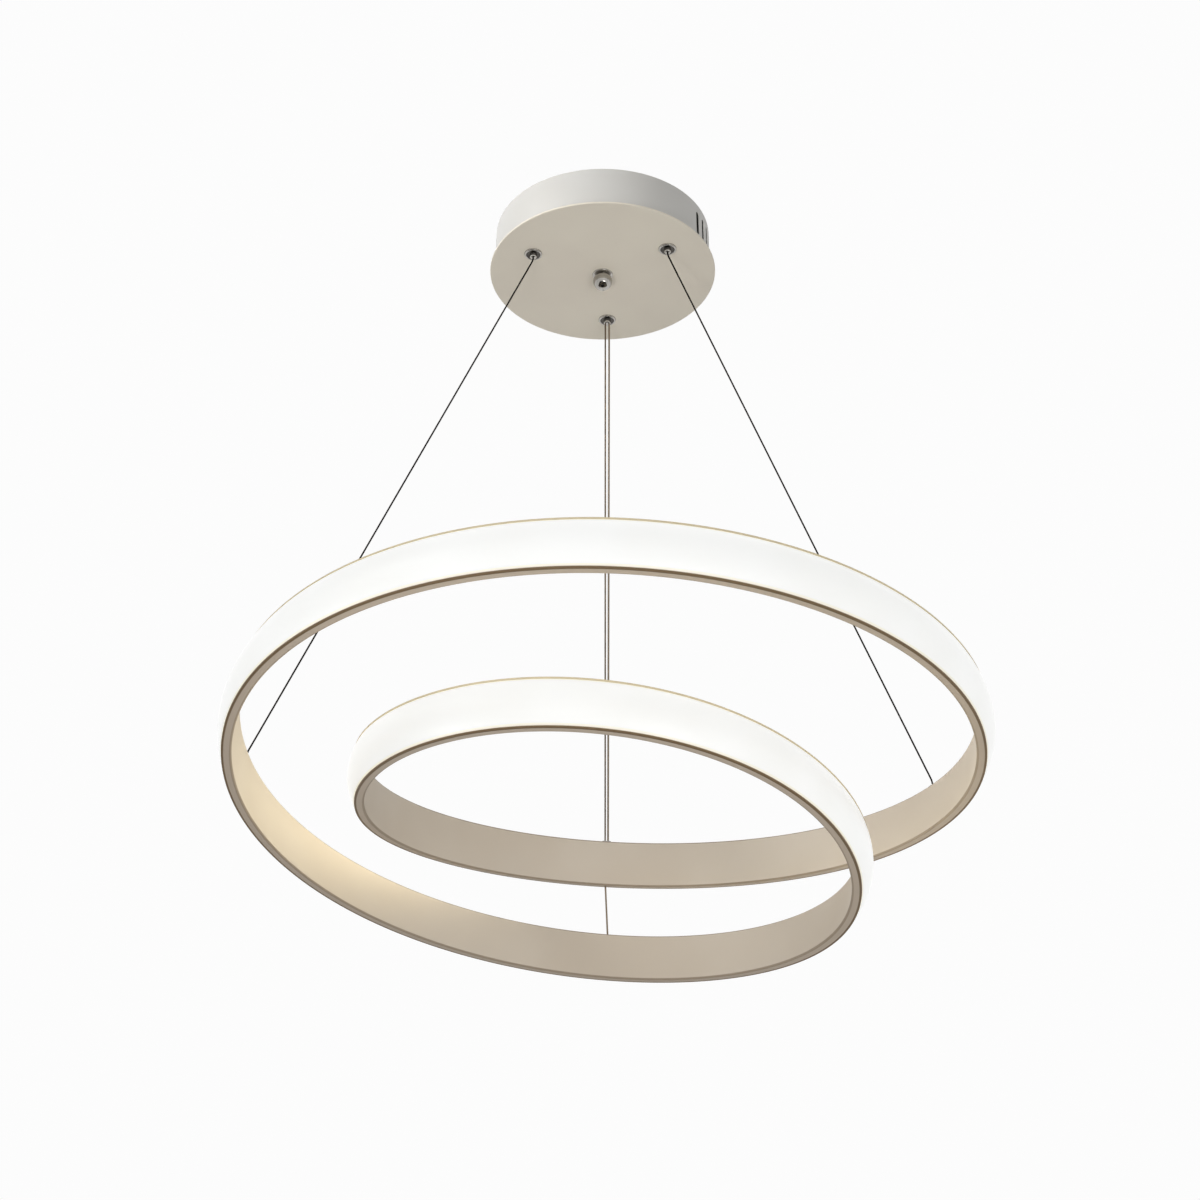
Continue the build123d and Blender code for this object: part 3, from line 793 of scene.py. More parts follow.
def cut(piece: bpy.types.Object, tool: Workpiece) -> None:
    """Take a tool's shape out of a piece.

    Args:
        piece: The piece to cut.
        tool: The closed shape to take away.
    """
    cutter = tool.as_object(f"{piece.name}_cutter")
    step = piece.modifiers.new("cut", "BOOLEAN")
    step.operation = "DIFFERENCE"
    step.solver = "EXACT"
    step.object = cutter
    mesh = evaluated_mesh(piece)
    piece.modifiers.remove(step)
    piece.data = mesh
    bpy.data.objects.remove(cutter)


def deliver(
    piece: bpy.types.Object, finish: Finish, body: Body, node: str, crease: float = 32.0
) -> bpy.types.Object:
    """Dress a piece and set it on its body in place of a CAD node.

    Args:
        piece: The finished shape.
        finish: Its finish.
        body: The body that it rides on.
        node: The CAD node that it stands for.
        crease: Angle in degrees above which an edge stays sharp.

    Returns:
        The piece.
    """
    finish.coat(piece)
    piece.data.shade_smooth()
    piece.data.set_sharp_from_angle(angle=math.radians(crease))
    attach(piece, body.value)
    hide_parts(node)
    LOG.info("%s: %d faces, %s", piece.name, len(piece.data.polygons), finish.name)
    return piece


@dataclass(frozen=True)
class LoopPath:
    """Closed line of two turns that the band follows, its radius and height in waves of the half turn."""

    radius: tuple[Wave, ...] = ((0, 0.246, 0.0), (1, 0.064, 0.0), (2, 0.008, 0.003), (4, 0.007, 0.0))
    height: tuple[Wave, ...] = (
        (0, -0.544, 0.0), (1, 0.028, 0.036), (2, 0.008, -0.017), (3, 0.0, -0.007), (4, 0.004, 0.0),
    )
    half_height: float = 0.020
    anchor_out: float = 0.0001

    @staticmethod
    def swing(waves: tuple[Wave, ...], turn: float, order: int) -> float:
        """Sum of waves, or its derivative of an order, at a turn in radians.

        Args:
            waves: Count, cosine share and sine share of each wave.
            turn: Angle in radians.
            order: Order of the derivative.

        Returns:
            The value.
        """
        shift = order * math.pi / 2
        return sum(
            (count / 2) ** order
            * (cosine * math.cos(count * turn / 2 + shift) + sine * math.sin(count * turn / 2 + shift))
            for count, cosine, sine in waves
        )

    def section(self, degrees: float) -> Matrix:
        """Frame of the band's section: x outward, y up its height, z against the run.

        Args:
            degrees: Turn from the viewer's side.

        Returns:
            The frame as a matrix.
        """
        turn = math.radians(degrees)
        out = Vector((math.sin(turn), -math.cos(turn), 0))
        side = Vector((math.cos(turn), math.sin(turn), 0))
        up = Vector((0, 0, 1))
        radius, slope, bend = (self.swing(self.radius, turn, order) for order in range(3))
        height, climb, lift = (self.swing(self.height, turn, order) for order in range(3))
        run = out * slope + side * radius + up * climb
        curve = out * (bend - radius) + side * (2 * slope) + up * lift
        rise = run.cross(curve).normalized()
        outward = run.cross(rise).normalized()
        axes = Matrix((outward, rise, outward.cross(rise))).transposed().to_4x4()
        return Matrix.Translation(out * radius + up * height) @ axes

    def on_flange(self, degrees: float, along: float, up: float, out: float = 0.0) -> Vector:
        """Point at a height over the channel's top flange, along the run and out from the anchors' line."""
        return self.section(degrees) @ Vector((self.anchor_out + out, self.half_height + up, -along))


PATH = LoopPath()


@dataclass(frozen=True)
class BandLength:
    """One half turn of the band: the channel and the diffuser snapped into it."""

    name: str
    start: float
    turn: float = 180.0
    stations: int = 150
    half_depth: float = 0.004
    half_height: float = PATH.half_height
    wall: float = 0.0016
    corner: float = 0.002
    corner_steps: int = 6
    lip: float = 0.00025
    rim: float = 0.0183
    rim_steps: int = 22
    skin: float = 0.0168
    skin_steps: int = 12
    foot: float = 0.0026
    crown: float = 0.0095
    thickness: float = 0.0015

    def draw_channel(self, piece: Workpiece) -> None:
        """Draw the U of the channel with rounded inner corners and broken lips.

        Args:
            piece: The piece to draw in.
        """
        deep, high = self.half_depth, self.half_height
        back, inside = self.wall - deep, high - self.wall
        around = ((deep, high, self.lip), (-deep, high, self.corner))
        around += ((-deep, -high, self.corner), (deep, -high, self.lip))
        around += ((deep, -inside, 0.0), (back, -inside, 0.0), (back, inside, 0.0), (deep, inside, 0.0))
        corners = [(Vector((x, y, 0)), rounding) for x, y, rounding in around]
        piece.chain(corners, True, self.corner_steps)

    def draw_lens(self, piece: Workpiece) -> None:
        """Draw the bowed skin of the diffuser with its two feet.

        Args:
            piece: The piece to draw in.
        """
        base, under = self.half_depth, self.crown - self.thickness
        arcs = [
            piece.arc(Vector((base, -half, 0)), Vector((top, 0, 0)), Vector((base, half, 0)), steps)
            for half, top, steps in (
                (self.rim, self.crown, self.rim_steps),
                (self.skin, under, self.skin_steps),
            )
        ]
        for outside, inside, side in zip(*arcs, (-1, 1)):
            toe = piece.bm.verts.new((self.foot, side * self.rim, 0))
            heel = piece.bm.verts.new((self.foot, side * self.skin, 0))
            for edge in ((outside, toe), (toe, heel), (heel, inside)):
                piece.bm.edges.new(edge)

    def sweep(self, section: Section) -> Workpiece:
        """Carry a section along the loop.

        Args:
            section: Which section to draw.

        Returns:
            The closed length.
        """
        piece = Workpiece()
        depth = piece.bm.verts.layers.float.new("depth")
        height = piece.bm.verts.layers.float.new("height")
        if section is Section.CHANNEL:
            self.draw_channel(piece)
        else:
            self.draw_lens(piece)
        reach = self.half_height if section is Section.CHANNEL else self.rim
        for vert in piece.bm.verts:
            vert[depth] = vert.co.x / self.half_depth
            vert[height] = vert.co.y / reach
        steps = range(self.stations + 1)
        frames = [PATH.section(self.start + self.turn * step / self.stations) for step in steps]
        piece.move(frames[0])
        edges = list(piece.bm.edges)
        for last, following in zip(frames, frames[1:]):
            made = bmesh.ops.extrude_edge_only(piece.bm, edges=edges)["geom"]
            edges = [part for part in made if isinstance(part, bmesh.types.BMEdge)]
            verts = [part for part in made if isinstance(part, bmesh.types.BMVert)]
            bmesh.ops.transform(piece.bm, matrix=following @ last.inverted(), verts=verts)
        piece.cap_ends()
        return piece

    def build(self) -> None:
        """Make and dress the channel and the diffuser of this length."""
        for section, finish, slot in (
            (Section.CHANNEL, CHANNEL_COAT, "beige_profile"),
            (Section.LENS, OPAL, "opal"),
        ):
            piece = self.sweep(section).as_object(f"{section.value}_length_{self.name}")
            deliver(piece, finish, Body.RING, f"{section.value}_{self.name}")


class Fitting(Enum):
    """Wire fittings in the face plate, by their turn from the viewer's side in degrees."""

    LEFT = -62.7
    RIGHT = 57.3
    REAR = 177.3

    def place(self, circle: float = 0.068) -> Spot:
        """Plan position of the fitting's axis on its circle."""
        turn = math.radians(self.value)
        return circle * math.sin(turn), -circle * math.cos(turn)


@dataclass(frozen=True)
class Canopy:
    """Ceiling canopy: drum with vents, wider face plate, washer and cap nut."""

    plate_r: float = 0.100
    plate_low: float = -0.0415
    plate_top: float = -0.0395
    plate_edge: float = 0.0008
    rod_hole_r: float = 0.00325
    bush_hole_r: float = 0.0071
    cut_over: float = 0.002
    drum_r: float = 0.09525
    drum_edge: float = 0.0008
    sheet: float = 0.001
    lip: float = 0.0125
    vent_w: float = 0.005
    vent_h: float = 0.024
    vent_depth: float = 0.012
    vent_round: float = 0.49
    vent_count: int = 6
    vent_start: float = 61.8
    vent_pitch: float = 7.0
    washer_r: float = 0.009
    washer_hole_r: float = 0.00305
    washer_edge: float = 0.0006
    washer_low: float = -0.0427
    finial_foot_r: float = 0.006
    finial_r: float = 0.0085
    finial_level: float = -0.048721

    def vents(self) -> Workpiece:
        """Tool for the two rows of upright vents.

        Returns:
            Twelve rounded bars standing round the wall.
        """
        tool = Workpiece()
        size = Matrix.Diagonal((self.vent_w, self.vent_depth, self.vent_h, 1.0))
        spot = Matrix.Translation((0, -self.drum_r, self.plate_low / 2))
        bmesh.ops.create_cube(tool.bm, size=1.0, matrix=size)
        spans = {edge: edge.verts[0].co.y - edge.verts[1].co.y for edge in tool.bm.edges}
        through = [edge for edge, span in spans.items() if abs(span) > self.vent_depth / 2]
        tool.bevel(through, self.vent_w * self.vent_round, "EDGES", segments=6)
        tool.move(Matrix.Rotation(math.radians(self.vent_start), 4, "Z") @ spot)
        row = self.vent_count - 1
        for angle, steps in ((math.radians(self.vent_pitch) * row, row), (math.pi, 1)):
            drawn = [*tool.bm.verts, *tool.bm.edges, *tool.bm.faces]
            tool.spin(drawn, angle, steps, use_duplicate=True)
        return tool

    def build_drum(self) -> None:
        """Turn the drum's sheet and cut its vents."""
        drum = Workpiece()
        inner, opening = self.drum_r - self.sheet, self.drum_r - self.lip
        outside = [Corner(self.drum_r, self.plate_top), Corner(self.drum_r, 0.0, self.drum_edge)]
        lip = [Corner(opening, 0.0), Corner(opening, -self.sheet)]
        inside = [Corner(inner, -self.sheet), Corner(inner, self.plate_top)]
        drum.turned(outside + lip + inside, segments=192)
        piece = drum.as_object("drum_wall")
        cut(piece, self.vents())
        deliver(piece, CANOPY_PAINT, Body.CANOPY, "canopy_drum")

    def build_plate(self) -> None:
        """Turn the face plate with its rolled edge and cut the bush holes."""
        plate = Workpiece()
        outline = [
            Corner(self.rod_hole_r, self.plate_low),
            Corner(self.plate_r, self.plate_low, self.plate_edge),
            Corner(self.plate_r, self.plate_top, self.plate_edge),
            Corner(self.rod_hole_r, self.plate_top),
        ]
        plate.turned(outline, segments=256, rounding_steps=6)
        piece = plate.as_object("face_plate")
        tool = Workpiece()
        low, top = self.plate_low - self.cut_over, self.plate_top + self.cut_over
        for fitting in Fitting:
            tool.plug(self.bush_hole_r, low, top, fitting.place(), segments=48)
        cut(piece, tool)
        deliver(piece, PLATE_PAINT, Body.CANOPY, "canopy_plate")

    def build_cap_nut(self) -> None:
        """Turn the washer and the domed cap nut under the plate."""
        washer = Workpiece()
        outline = [
            Corner(self.washer_hole_r, self.plate_low),
            Corner(self.washer_r, self.plate_low),
            Corner(self.washer_r, self.washer_low, self.washer_edge),
            Corner(self.washer_hole_r, self.washer_low),
        ]
        washer.turned(outline, segments=96)
        deliver(washer.as_object("cap_washer"), CHROME, Body.CANOPY, "finial_washer")
        nut = Workpiece()
        foot = Vector((self.finial_foot_r, self.washer_low, 0))
        side = Vector((self.finial_r, self.finial_level, 0))
        pole = Vector((0, self.finial_level - self.finial_r, 0))
        bow = nut.arc(foot, side, pole, steps=32)
        nut.bm.edges.new((bow[0], nut.bm.verts.new((0, self.washer_low, 0))))
        nut.move(Matrix.Rotation(math.pi / 2, 4, "X"))
        nut.lathe(nut.bm.verts, (0.0, 0.0), segments=96)
        deliver(nut.as_object("cap_nut"), CHROME, Body.CANOPY, "finial_nut", crease=50.0)

    def build(self) -> None:
        """Make the canopy's outer pieces."""
        self.build_drum()
        self.build_plate()
        self.build_cap_nut()


@dataclass(frozen=True)
class WireFittings:
    """Chrome bushes in the plate, release noses with springs, and the rear ferrule."""

    flange_low: float = -0.0431
    flange_top: float = -0.0415
    flange_r: float = 0.0078
    flange_edge: float = 0.0008
    bush_top: float = -0.0325
    bush_r: float = 0.0070
    bush_bore_r: float = 0.0062
    bush_edge: float = 0.0004
    insert_top: float = -0.0313
    nose_low: float = -0.0463
    nose_r: float = 0.0031
    nose_edge: float = 0.0016
    nose_bore_r: float = 0.00085
    nose_bore_edge: float = 0.0002
    nose_travel: float = 0.002
    collar_low: float = -0.0301
    collar_top: float = -0.0281
    collar_r: float = 0.0036
    cap_low: float = -0.0191
    ferrule_low: float = -0.0466
    ferrule_r: float = 0.0033
    ferrule_edge: float = 0.001
    rope_hole_r: float = 0.0008
    cord_hole_r: float = 0.0009
    cut_over: float = 0.001
    spread: float = 0.00175
    spring_r: float = 0.0029
    spring_wire_r: float = 0.00035
    spring_turns: int = 5
    spring_gap: float = 0.0001
    turn_steps: int = 24

    def build_bushes(self) -> None:
        """Turn the three flanged bushes."""
        bushes = Workpiece()
        outline = [
            Corner(self.bush_bore_r, self.flange_low, self.bush_edge),
            Corner(self.flange_r, self.flange_low, self.flange_edge),
            Corner(self.flange_r, self.flange_top),
            Corner(self.bush_r, self.flange_top),
            Corner(self.bush_r, self.bush_top),
            Corner(self.bush_bore_r, self.bush_top),
        ]
        for fitting in Fitting:
            bushes.turned(outline, fitting.place(), segments=72)
        deliver(bushes.as_object("flanged_bushes"), CHROME, Body.CANOPY, "plate_bushes")

    def build_nose(self, fitting: Fitting, body: Body) -> None:
        """Turn one release nose with its collar.

        Args:
            fitting: The fitting that it sits in.
            body: The body that it rides on.
        """
        nose = Workpiece()
        outline = [
            Corner(self.nose_bore_r, self.nose_low, self.nose_bore_edge),
            Corner(self.nose_r, self.nose_low, self.nose_edge),
            Corner(self.nose_r, self.collar_low),
            Corner(self.collar_r, self.collar_low),
            Corner(self.collar_r, self.collar_top),
            Corner(self.nose_bore_r, self.collar_top),
        ]
        nose.turned(outline, fitting.place(), segments=56, rounding_steps=5)
        side = fitting.name.lower()
        deliver(nose.as_object(f"{side}_nose"), CHROME, body, f"{side}_plunger")

    def build_spring(self, fitting: Fitting) -> None:
        """Wind one return spring between the nose's collar and the cap.

        Args:
            fitting: The fitting that it sits in.
        """
        spring = Workpiece()
        x, y = fitting.place()
        low = self.collar_top + self.spring_wire_r + self.spring_gap
        height = self.cap_low - self.spring_wire_r - self.spring_gap - low
        steps = self.spring_turns * self.turn_steps
        start = Matrix.Translation((self.spring_r, 0, low)) @ Matrix.Rotation(math.pi / 2, 4, "X")
        ring = bmesh.ops.create_circle(spring.bm, segments=10, radius=self.spring_wire_r, matrix=start)
        edges = list({edge for vert in ring["verts"] for edge in vert.link_edges})
        climb = (0, 0, height / steps)
        spring.spin(ring["verts"] + edges, math.tau * self.spring_turns, steps, dvec=climb)
        spring.cap_ends()
        spring.move(Matrix.Translation((x, y, 0)))
        side = fitting.name.lower()
        piece = spring.as_object(f"{side}_return_spring")
        deliver(piece, BALL_STEEL, Body.CANOPY, f"{side}_spring")
        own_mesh(piece)

    def build_ferrule(self) -> None:
        """Turn the rear ferrule and drill its two holes."""
        x, y = Fitting.REAR.place()
        low, top = self.ferrule_low, self.insert_top
        ferrule = Workpiece()
        ferrule.plug(self.ferrule_r, low, top, (x, y), segments=56, rounding=self.ferrule_edge)
        piece = ferrule.as_object("cord_ferrule")
        drills = Workpiece()
        for offset, radius in ((-self.spread, self.rope_hole_r), (self.spread, self.cord_hole_r)):
            place = (x + offset, y)
            drills.plug(radius, low - self.cut_over, top + self.cut_over, place, segments=24)
        cut(piece, drills)
        deliver(piece, CHROME, Body.CANOPY, "rear_ferrule")

    def build(self) -> None:
        """Make the fittings."""
        self.build_bushes()
        self.build_nose(Fitting.LEFT, Body.LEFT_NOSE)
        self.build_nose(Fitting.RIGHT, Body.RIGHT_NOSE)
        self.build_spring(Fitting.LEFT)
        self.build_spring(Fitting.RIGHT)
        self.build_ferrule()


def curve_mesh(
    name: str, kind: str, lines: Sequence[Sequence[Vector]], settings: dict[str, Any]
) -> bpy.types.Mesh:
    """Mesh of a curve with a spline along each line.

    Args:
        name: Name of the curve.
        kind: Type of its splines.
        lines: Points of each spline.
        settings: Properties of the curve.

    Returns:
        A mesh of its own.
    """
    curve = bpy.data.curves.new(name, "CURVE")
    curve.dimensions = "3D"
    for key, value in settings.items():
        setattr(curve, key, value)
    for line in lines:
        spline = curve.splines.new(kind)
        spline.points.add(len(line) - 1)
        for point, place in zip(spline.points, line):
            point.co = (*place, 1.0)
        if kind == "NURBS":
            spline.order_u = 3
            spline.use_endpoint_u = True
    holder = put_up(f"{name}_line", curve)
    mesh = evaluated_mesh(holder)
    bpy.data.objects.remove(holder)
    bpy.data.curves.remove(curve)
    return mesh


def followed(route: Sequence[Vector]) -> list[Vector]:
    """Points along the smooth line of a route.

    Args:
        route: Control points.

    Returns:
        Points read from the NURBS spline.
    """
    mesh = curve_mesh("route", "NURBS", [route], {"resolution_u": 40})
    points = [vert.co.copy() for vert in mesh.vertices]
    bpy.data.meshes.remove(mesh)
    return points


def tubes(name: str, lines: Sequence[Sequence[Vector]], radius: float, sides: int = 3) -> bpy.types.Object:
    """Round tubes along lines.

    Args:
        name: Name of the object.
        lines: Points of each tube.
        radius: Radius of a tube.
        sides: Bevel resolution of its round.

    Returns:
        One mesh object of all the tubes.
    """
    bevel = {"bevel_depth": radius, "bevel_resolution": sides, "use_fill_caps": True}
    mesh = curve_mesh(name, "POLY", lines, bevel)
    mesh.name = name
    return put_up(name, mesh)


def declare_cord(
    radius: float
) -> None:
    """Work out twice a line's radius and keep nothing; no line is declared.

    Args:
        radius: Its radius.
    """
    2 * radius


@dataclass(frozen=True)
class Rope:
    """Thin steel rope of six strands."""

    radius: float = 0.00075
    strands: int = 6
    lay: float = 0.009
    step: float = 0.0009

    def even(self, line: Sequence[Vector]) -> list[tuple[float, Vector, Vector]]:
        """Points at even steps along a line.

        Args:
            line: Points of the line.

        Returns:
            Way along, point and direction at each step.
        """
        found: list[tuple[float, Vector, Vector]] = []
        way = 0.0
        due = 0.0
        for first, second in zip(line, line[1:]):
            span = second - first
            while span.length > 0 and due <= way + span.length:
                found.append((due, first + span * ((due - way) / span.length), span.normalized()))
                due += self.step
            way += span.length
        found.append((way, line[-1], (line[-1] - line[-2]).normalized()))
        return found

    def twisted(self, line: Sequence[Vector]) -> list[list[Vector]]:
        """Strands laid round a line.

        Args:
            line: Points of the line.

        Returns:
            Points of each strand.
        """
        strand_r = self.radius / 3
        ring_r = self.radius - strand_r
        made: list[list[Vector]] = [[] for _ in range(self.strands)]
        for way, point, run in self.even(line):
            across = (Vector((0, 1, 0)) - run * run.y).normalized()
            beside = run.cross(across)
            for index, strand in enumerate(made):
                turn = math.tau * (way / self.lay + index / self.strands)
                strand.append(point + (across * math.cos(turn) + beside * math.sin(turn)) * ring_r)
        return made

    def build(self, name: str, lines: Sequence[Sequence[Vector]]) -> bpy.types.Object:
        """Lay strands along each line, as one object."""
        strands = [strand for line in lines for strand in self.twisted(line)]
        return tubes(name, strands, self.radius / 3, sides=1)


SMOOTH = 60.0


@dataclass(frozen=True)
class Hanger:
    """One free line from the canopy to the ring."""

    name: str
    node: str
    exit: Point
    anchor: float
    along: float = 0.0
    end: float = -0.0062
    radius: float = 0.00075
    finish: Finish = ROPE_STEEL
    slot: str = "wire_rope"
    rope: bool = True
    stub: float = 0.002
    head: float = 0.0008
    travel: float = 0.3
    bend: float = 12.0

    def route(self) -> list[Vector]:
        """Control points: out of the fitting, down the straight run, and into the flange.

        Returns:
            The points.
        """
        leave = Vector(self.exit)
        clear = leave - Vector((0, 0, self.stub))
        above = PATH.on_flange(self.anchor, self.along, self.head + self.stub)
        end = PATH.on_flange(self.anchor, self.along, self.end)
        run = (above - clear).normalized() * (self.bend * self.radius)
        return [leave, clear, clear + run, above - run, above, end]

    def build(self) -> None:
        line = followed(self.route())
        if self.rope:
            piece = Rope(self.radius).build(self.name, [line])
        else:
            piece = tubes(self.name, [line], self.radius)
        deliver(piece, self.finish, Body.CANOPY, self.node, SMOOTH)
        keep = 1 - self.travel / (self.exit[2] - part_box(self.node)[0].z)
        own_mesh(piece)
        declare_cord(self.radius)


@dataclass(frozen=True)
class Suspension:
    """Three ropes and the power cord, with the link between the two far bands."""

    left_turn: float = 631.6
    right_turn: float = 106.7
    rear_turn: float = 180.2
    lower_turn: float = 540.5
    twin: float = 0.0013
    cord_end: float = 0.0008
    cord_r: float = 0.00085
    link_in: float = 0.004
    link_r: float = 0.0008

    def hangers(self) -> list[Hanger]:
        """The free lines.

        Returns:
            The four lines with their ends.
        """
        left, right, (x, y) = (fitting.place() for fitting in Fitting)
        nose, foot, spread = WireFittings.nose_low, WireFittings.ferrule_low, WireFittings.spread
        wire, cord = (x - spread, y, foot), (x + spread, y, foot)
        sheathed = (self.cord_end, self.cord_r, CORD_SHEATH, "beige_cord", False)
        return [
            Hanger("left_rope", "left_wire", (*left, nose), self.left_turn),
            Hanger("right_rope", "right_wire", (*right, nose), self.right_turn),
            Hanger("rear_rope", "rear_wire", wire, self.rear_turn, self.twin, finish=REAR_STEEL),
            Hanger("supply_cord", "power_cord", cord, self.rear_turn, -self.twin, *sheathed),
        ]

    def build_link(self) -> None:
        """Make the short line between the upper and the lower far band."""
        top = PATH.section(self.rear_turn) @ Vector((PATH.anchor_out, -PATH.half_height, 0))
        foot = PATH.on_flange(self.lower_turn, 0.0, 0.0)
        inward = (top - foot).normalized() * self.link_in
        line = followed([foot - inward, (foot + top) / 2, top + inward])
        piece = tubes("band_link", [line], self.link_r)
        deliver(piece, CORD_SHEATH, Body.RING, "link_wire", SMOOTH)
        declare_cord(self.link_r)

    def build(self) -> None:
        """Make all the lines."""
        for hanger in self.hangers():
            hanger.build()
        self.build_link()


@dataclass(frozen=True)
class InnerLines:
    """Rope tails, cord and mains leads inside the canopy, and the lead inside the channel."""

    tail_top: float = -0.0041
    rear_tail_top: float = -0.0103
    cord_level: float = -0.018
    cord_bends: Point = (0.010, 0.012, 0.009)
    port_x: float = 0.040
    port_y: float = 0.0482
    lead_r: float = 0.0011
    lead_level: float = -0.0335
    lead_bend: float = 0.008
    lead_start: float = -0.052
    lead_end: float = -0.0602
    lead_front: Spot = (-0.019, -0.014)
    lead_side: Spot = (-0.080, -0.075)
    lead_port: Spot = (0.025, 0.020)
    poles: Spot = (-0.010, 0.0)
    strip_levels: Spot = (-0.008, -0.016)
    strip_in: float = -0.00135

    def build_tails(self) -> None:
        """Lay the rope tails that stand above the fittings."""
        left, right, (x, y) = (fitting.place() for fitting in Fitting)
        side = (WireFittings.nose_low, self.tail_top)
        rear = (WireFittings.ferrule_low, self.rear_tail_top)
        lines = []
        for place, (low, top) in ((left, side), (right, side), ((x - WireFittings.spread, y), rear)):
            lines.append(followed([Vector((*place, z)) for z in (low, (low + top) / 2, top)]))
        piece = Rope().build("rope_tails", lines)
        deliver(piece, ROPE_STEEL, Body.CANOPY, "wire_tails", SMOOTH)

    def build_cord(self) -> None:
        """Lead the supply cord from the ferrule to the driver."""
        x, y = Fitting.REAR.place()
        x += WireFittings.spread
        level, port = self.cord_level, self.port_x
        rise, turn, end = self.cord_bends
        upright = [(x, y, WireFittings.ferrule_low), (x, y, level - rise), (x, y, level)]
        across = [(x + turn, y, level), (port - end, y, level), (port, y, level)]
        inward = [(port, y - end, level), (port, self.port_y, level)]
        line = followed([Vector(point) for point in upright + across + inward])
        piece = tubes("inner_cord", [line], Suspension.cord_r)
        deliver(piece, CORD_SHEATH, Body.CANOPY, "cord_inner_run", SMOOTH)

    def build_leads(self) -> None:
        """Lead the two mains leads from the terminal block to the driver."""
        bend = self.lead_bend
        lines = []
        for pole, front, side, port in zip(self.poles, self.lead_front, self.lead_side, self.lead_port):
            plan = [(pole, self.lead_start), (pole, front - bend), (pole, front), (pole - bend, front)]
            plan += [(side + bend, front), (side, front), (side, front + bend)]
            plan += [(side, port - bend), (side, port), (self.lead_end, port)]
            lines.append(followed([Vector((x, y, self.lead_level)) for x, y in plan]))
        piece = tubes("inner_leads", lines, self.lead_r)
        deliver(piece, LEAD_SHEATH, Body.CANOPY, "mains_leads", SMOOTH)

    def build_ring_lead(self) -> None:
        """Lead the cord's end down the channel to the strip."""
        spot = (Suspension.rear_turn, -Suspension.twin)
        points = [PATH.on_flange(*spot, up) for up in (Suspension.cord_end, *self.strip_levels)]
        points.append(PATH.on_flange(*spot, self.strip_levels[1], self.strip_in))
        piece = tubes("channel_lead", [followed(points)], Suspension.cord_r)
        deliver(piece, CORD_SHEATH, Body.RING, "ring_lead", SMOOTH)

    def build(self) -> None:
        """Make all the lines."""
        self.build_tails()
        self.build_cord()
        self.build_leads()
        self.build_ring_lead()


@dataclass(frozen=True)
class LightRing:
    """The band of two turns, in lengths of half a turn, by the turn at which each starts."""

    starts: tuple[tuple[str, float], ...] = tuple(BAND_STARTS.items())

    def build(self) -> None:
        """Make the four lengths."""
        for name, start in self.starts:
            BandLength(name, start).build()


@dataclass(frozen=True)
class CarriedNodes:
    """CAD nodes whose shape stays, each with its finish."""

    finishes: tuple[tuple[Finish, tuple[str, ...]], ...] = CARRIED

    def build(self) -> None:
        """Give each node its finish."""
        for finish, names in self.finishes:
            for name in names:
                finish.coat(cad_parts[name])
                LOG.info("%s keeps its CAD shape, %s", name, finish.name)


@dataclass(frozen=True)
class Lamp:
    """Soft square lamp, with a grid in front of it that narrows its beam to a spread in degrees."""

    name: str
    place: Point
    aim: Point
    size: float
    spread: float
    power: float

    def build(self) -> None:
        """Hang the lamp where the camera doesn't see it."""
        lamp = bpy.data.lights.new(self.name, "AREA")
        lamp.size = self.size
        lamp.spread = math.radians(self.spread)
        lamp.energy = self.power
        holder = put_up(self.name, lamp)
        holder.location = self.place
        holder.rotation_mode = "QUATERNION"
        holder.rotation_quaternion = (Vector(self.aim) - Vector(self.place)).to_track_quat("-Z", "Y")
        holder.visible_camera = False


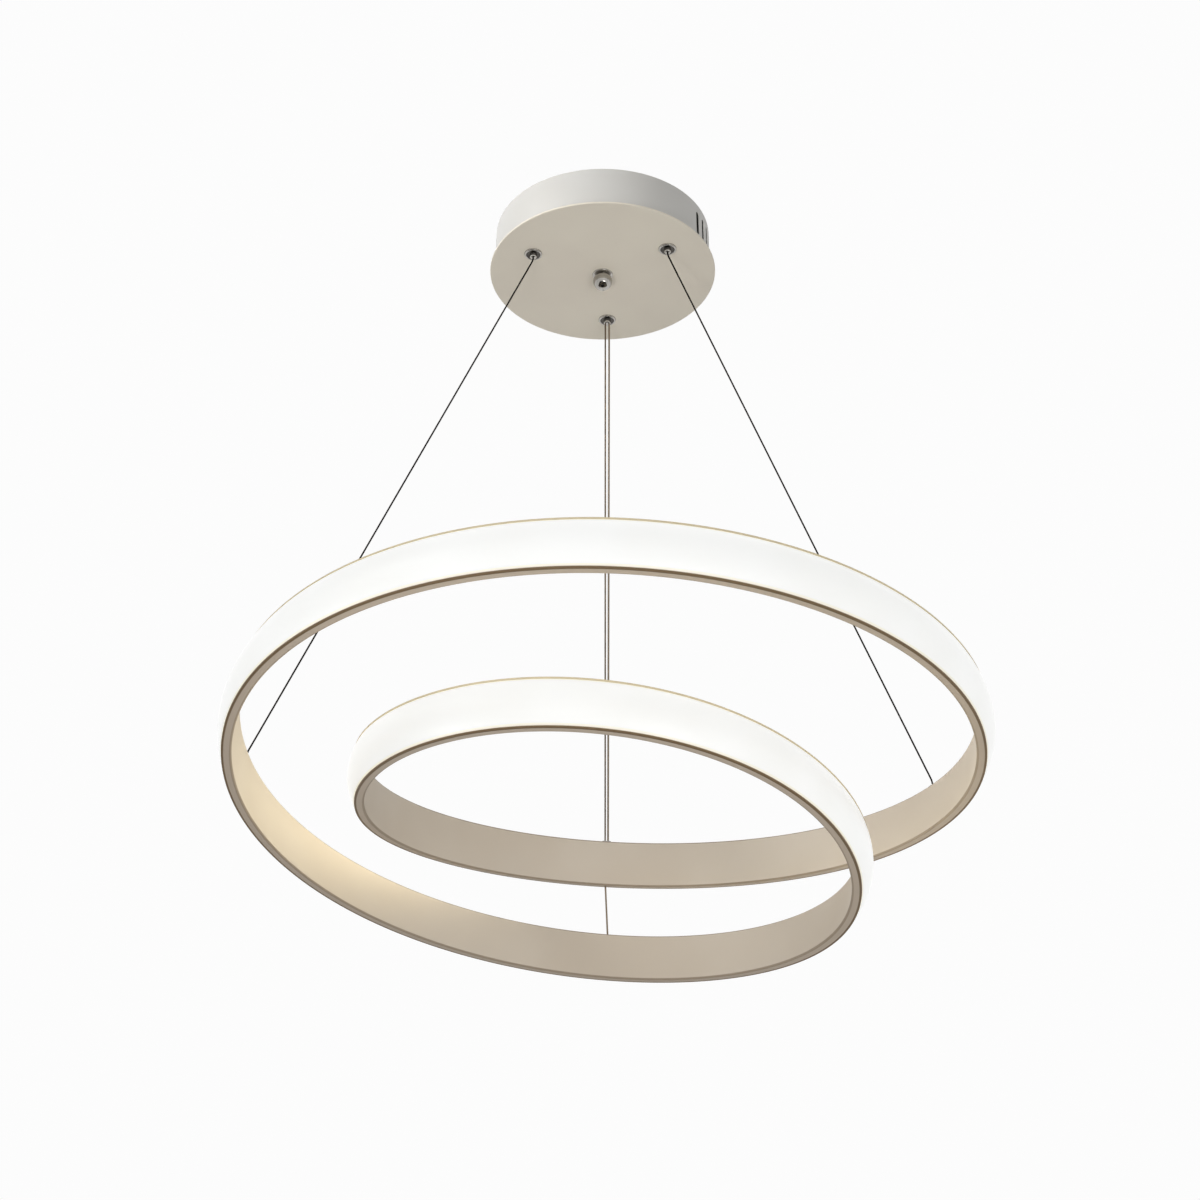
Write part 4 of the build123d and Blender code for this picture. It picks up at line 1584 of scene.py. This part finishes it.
@dataclass(frozen=True)
class Studio:
    """Pale floor, soft light and the camera at the photograph's place."""

    floor_place: Point = (0.0, 0.0, -1.65)
    floor_size: float = 80.0
    card_place: Point = (0.0, -0.5, -1.15)
    card_size: float = 2.2
    camera_place: Point = (0.02131, -1.53845, -1.19573)
    yaw: float = -0.0154
    pitch: float = 0.4925
    focal: float = 64.096
    sensor: float = 36.0
    white: Colour = (0.975, 0.975, 0.975, 1.0)
    ambient: Colour = (0.32, 0.315, 0.31, 1.0)
    lamps: tuple[Lamp, ...] = (
        Lamp("canopy_lamp", (-1.2, -0.75, 0.4), (0.0, 0.0, -0.02), 0.6, 40.0, 1.15),
        Lamp("side_lamp", (-1.3, -0.35, -0.95), (0.28, -0.02, -0.48), 0.5, 16.0, 0.14),
        Lamp("plate_lamp", (-0.5, -1.2, -1.4), (0.0, 0.0, -0.04), 0.4, 24.0, 0.17),
        Lamp("ring_lamp", (0.55, -1.25, -1.3), (0.0, 0.12, -0.57), 0.8, 50.0, 1.28),
        Lamp("top_lamp", (0.0, 0.2, 2.6), (0.0, 0.0, -1.0), 3.0, 180.0, 26.0),
    )

    @staticmethod
    def sheet(name: str, size: float, place: Point, finish: Finish) -> bpy.types.Object:
        """Make a level square sheet.

        Args:
            name: Name of the object.
            size: Side of the square.
            place: Its middle.
            finish: Its finish.

        Returns:
            The sheet.
        """
        made = Workpiece()
        middle = Matrix.Translation(place)
        bmesh.ops.create_grid(made.bm, x_segments=1, y_segments=1, size=size / 2, matrix=middle)
        piece = made.as_object(name)
        finish.coat(piece)
        return piece

    def lay_sheets(self) -> None:
        """Lay the pale floor, and below the picture's edge a dark card that only reflections see."""
        self.sheet("floor", self.floor_size, self.floor_place, FLOOR_PAINT)
        card = self.sheet("dark_card", self.card_size, self.card_place, CARD_FELT)
        card.visible_camera = False
        card.visible_diffuse = False
        card.visible_shadow = False

    def set_world(self) -> None:
        """Light from all round, white where the camera or a reflection sees it."""
        world = bpy.data.worlds.new("studio")
        world.use_nodes = True
        recipe = Recipe(world.node_tree)
        colour = recipe.blend(recipe.seen(), self.ambient, self.white)
        light = recipe.node("ShaderNodeBackground", None, {"Color": colour, "Strength": 1.0})
        recipe.node("ShaderNodeOutputWorld", None, {"Surface": light})
        bpy.context.scene.world = world

    def aim(self) -> Quaternion:
        """Turn of the camera.

        Returns:
            The turn that looks from the camera's place to the object.
        """
        level = math.cos(self.pitch)
        forward = (math.sin(self.yaw) * level, math.cos(self.yaw) * level, math.sin(self.pitch))
        return Vector(forward).to_track_quat("-Z", "Y")

    def set_camera(self) -> None:
        """Stand the camera where the photograph was taken from."""
        lens = bpy.data.cameras.new("viewpoint")
        lens.lens = self.focal
        lens.sensor_width = self.sensor
        camera = put_up("viewpoint", lens)
        camera.location = self.camera_place
        camera.rotation_mode = "QUATERNION"
        camera.rotation_quaternion = self.aim()
        bpy.context.scene.camera = camera

    def build(self) -> None:
        """Set the stage."""
        self.lay_sheets()
        self.set_world()
        for lamp in self.lamps:
            lamp.build()
        self.set_camera()
        bpy.context.scene.view_settings.view_transform = "Standard"


def main() -> None:
    """Build the studio, then each sub-assembly in order."""
    logging.basicConfig(level=logging.INFO, format="%(name)s: %(message)s")
    parts = (Studio(), Suspension(), LightRing(), Canopy(), WireFittings(), InnerLines(), CarriedNodes())
    for part in parts:
        part.build()
        LOG.info("%s is built", type(part).__name__)


if __name__ == "__main__":
    main()
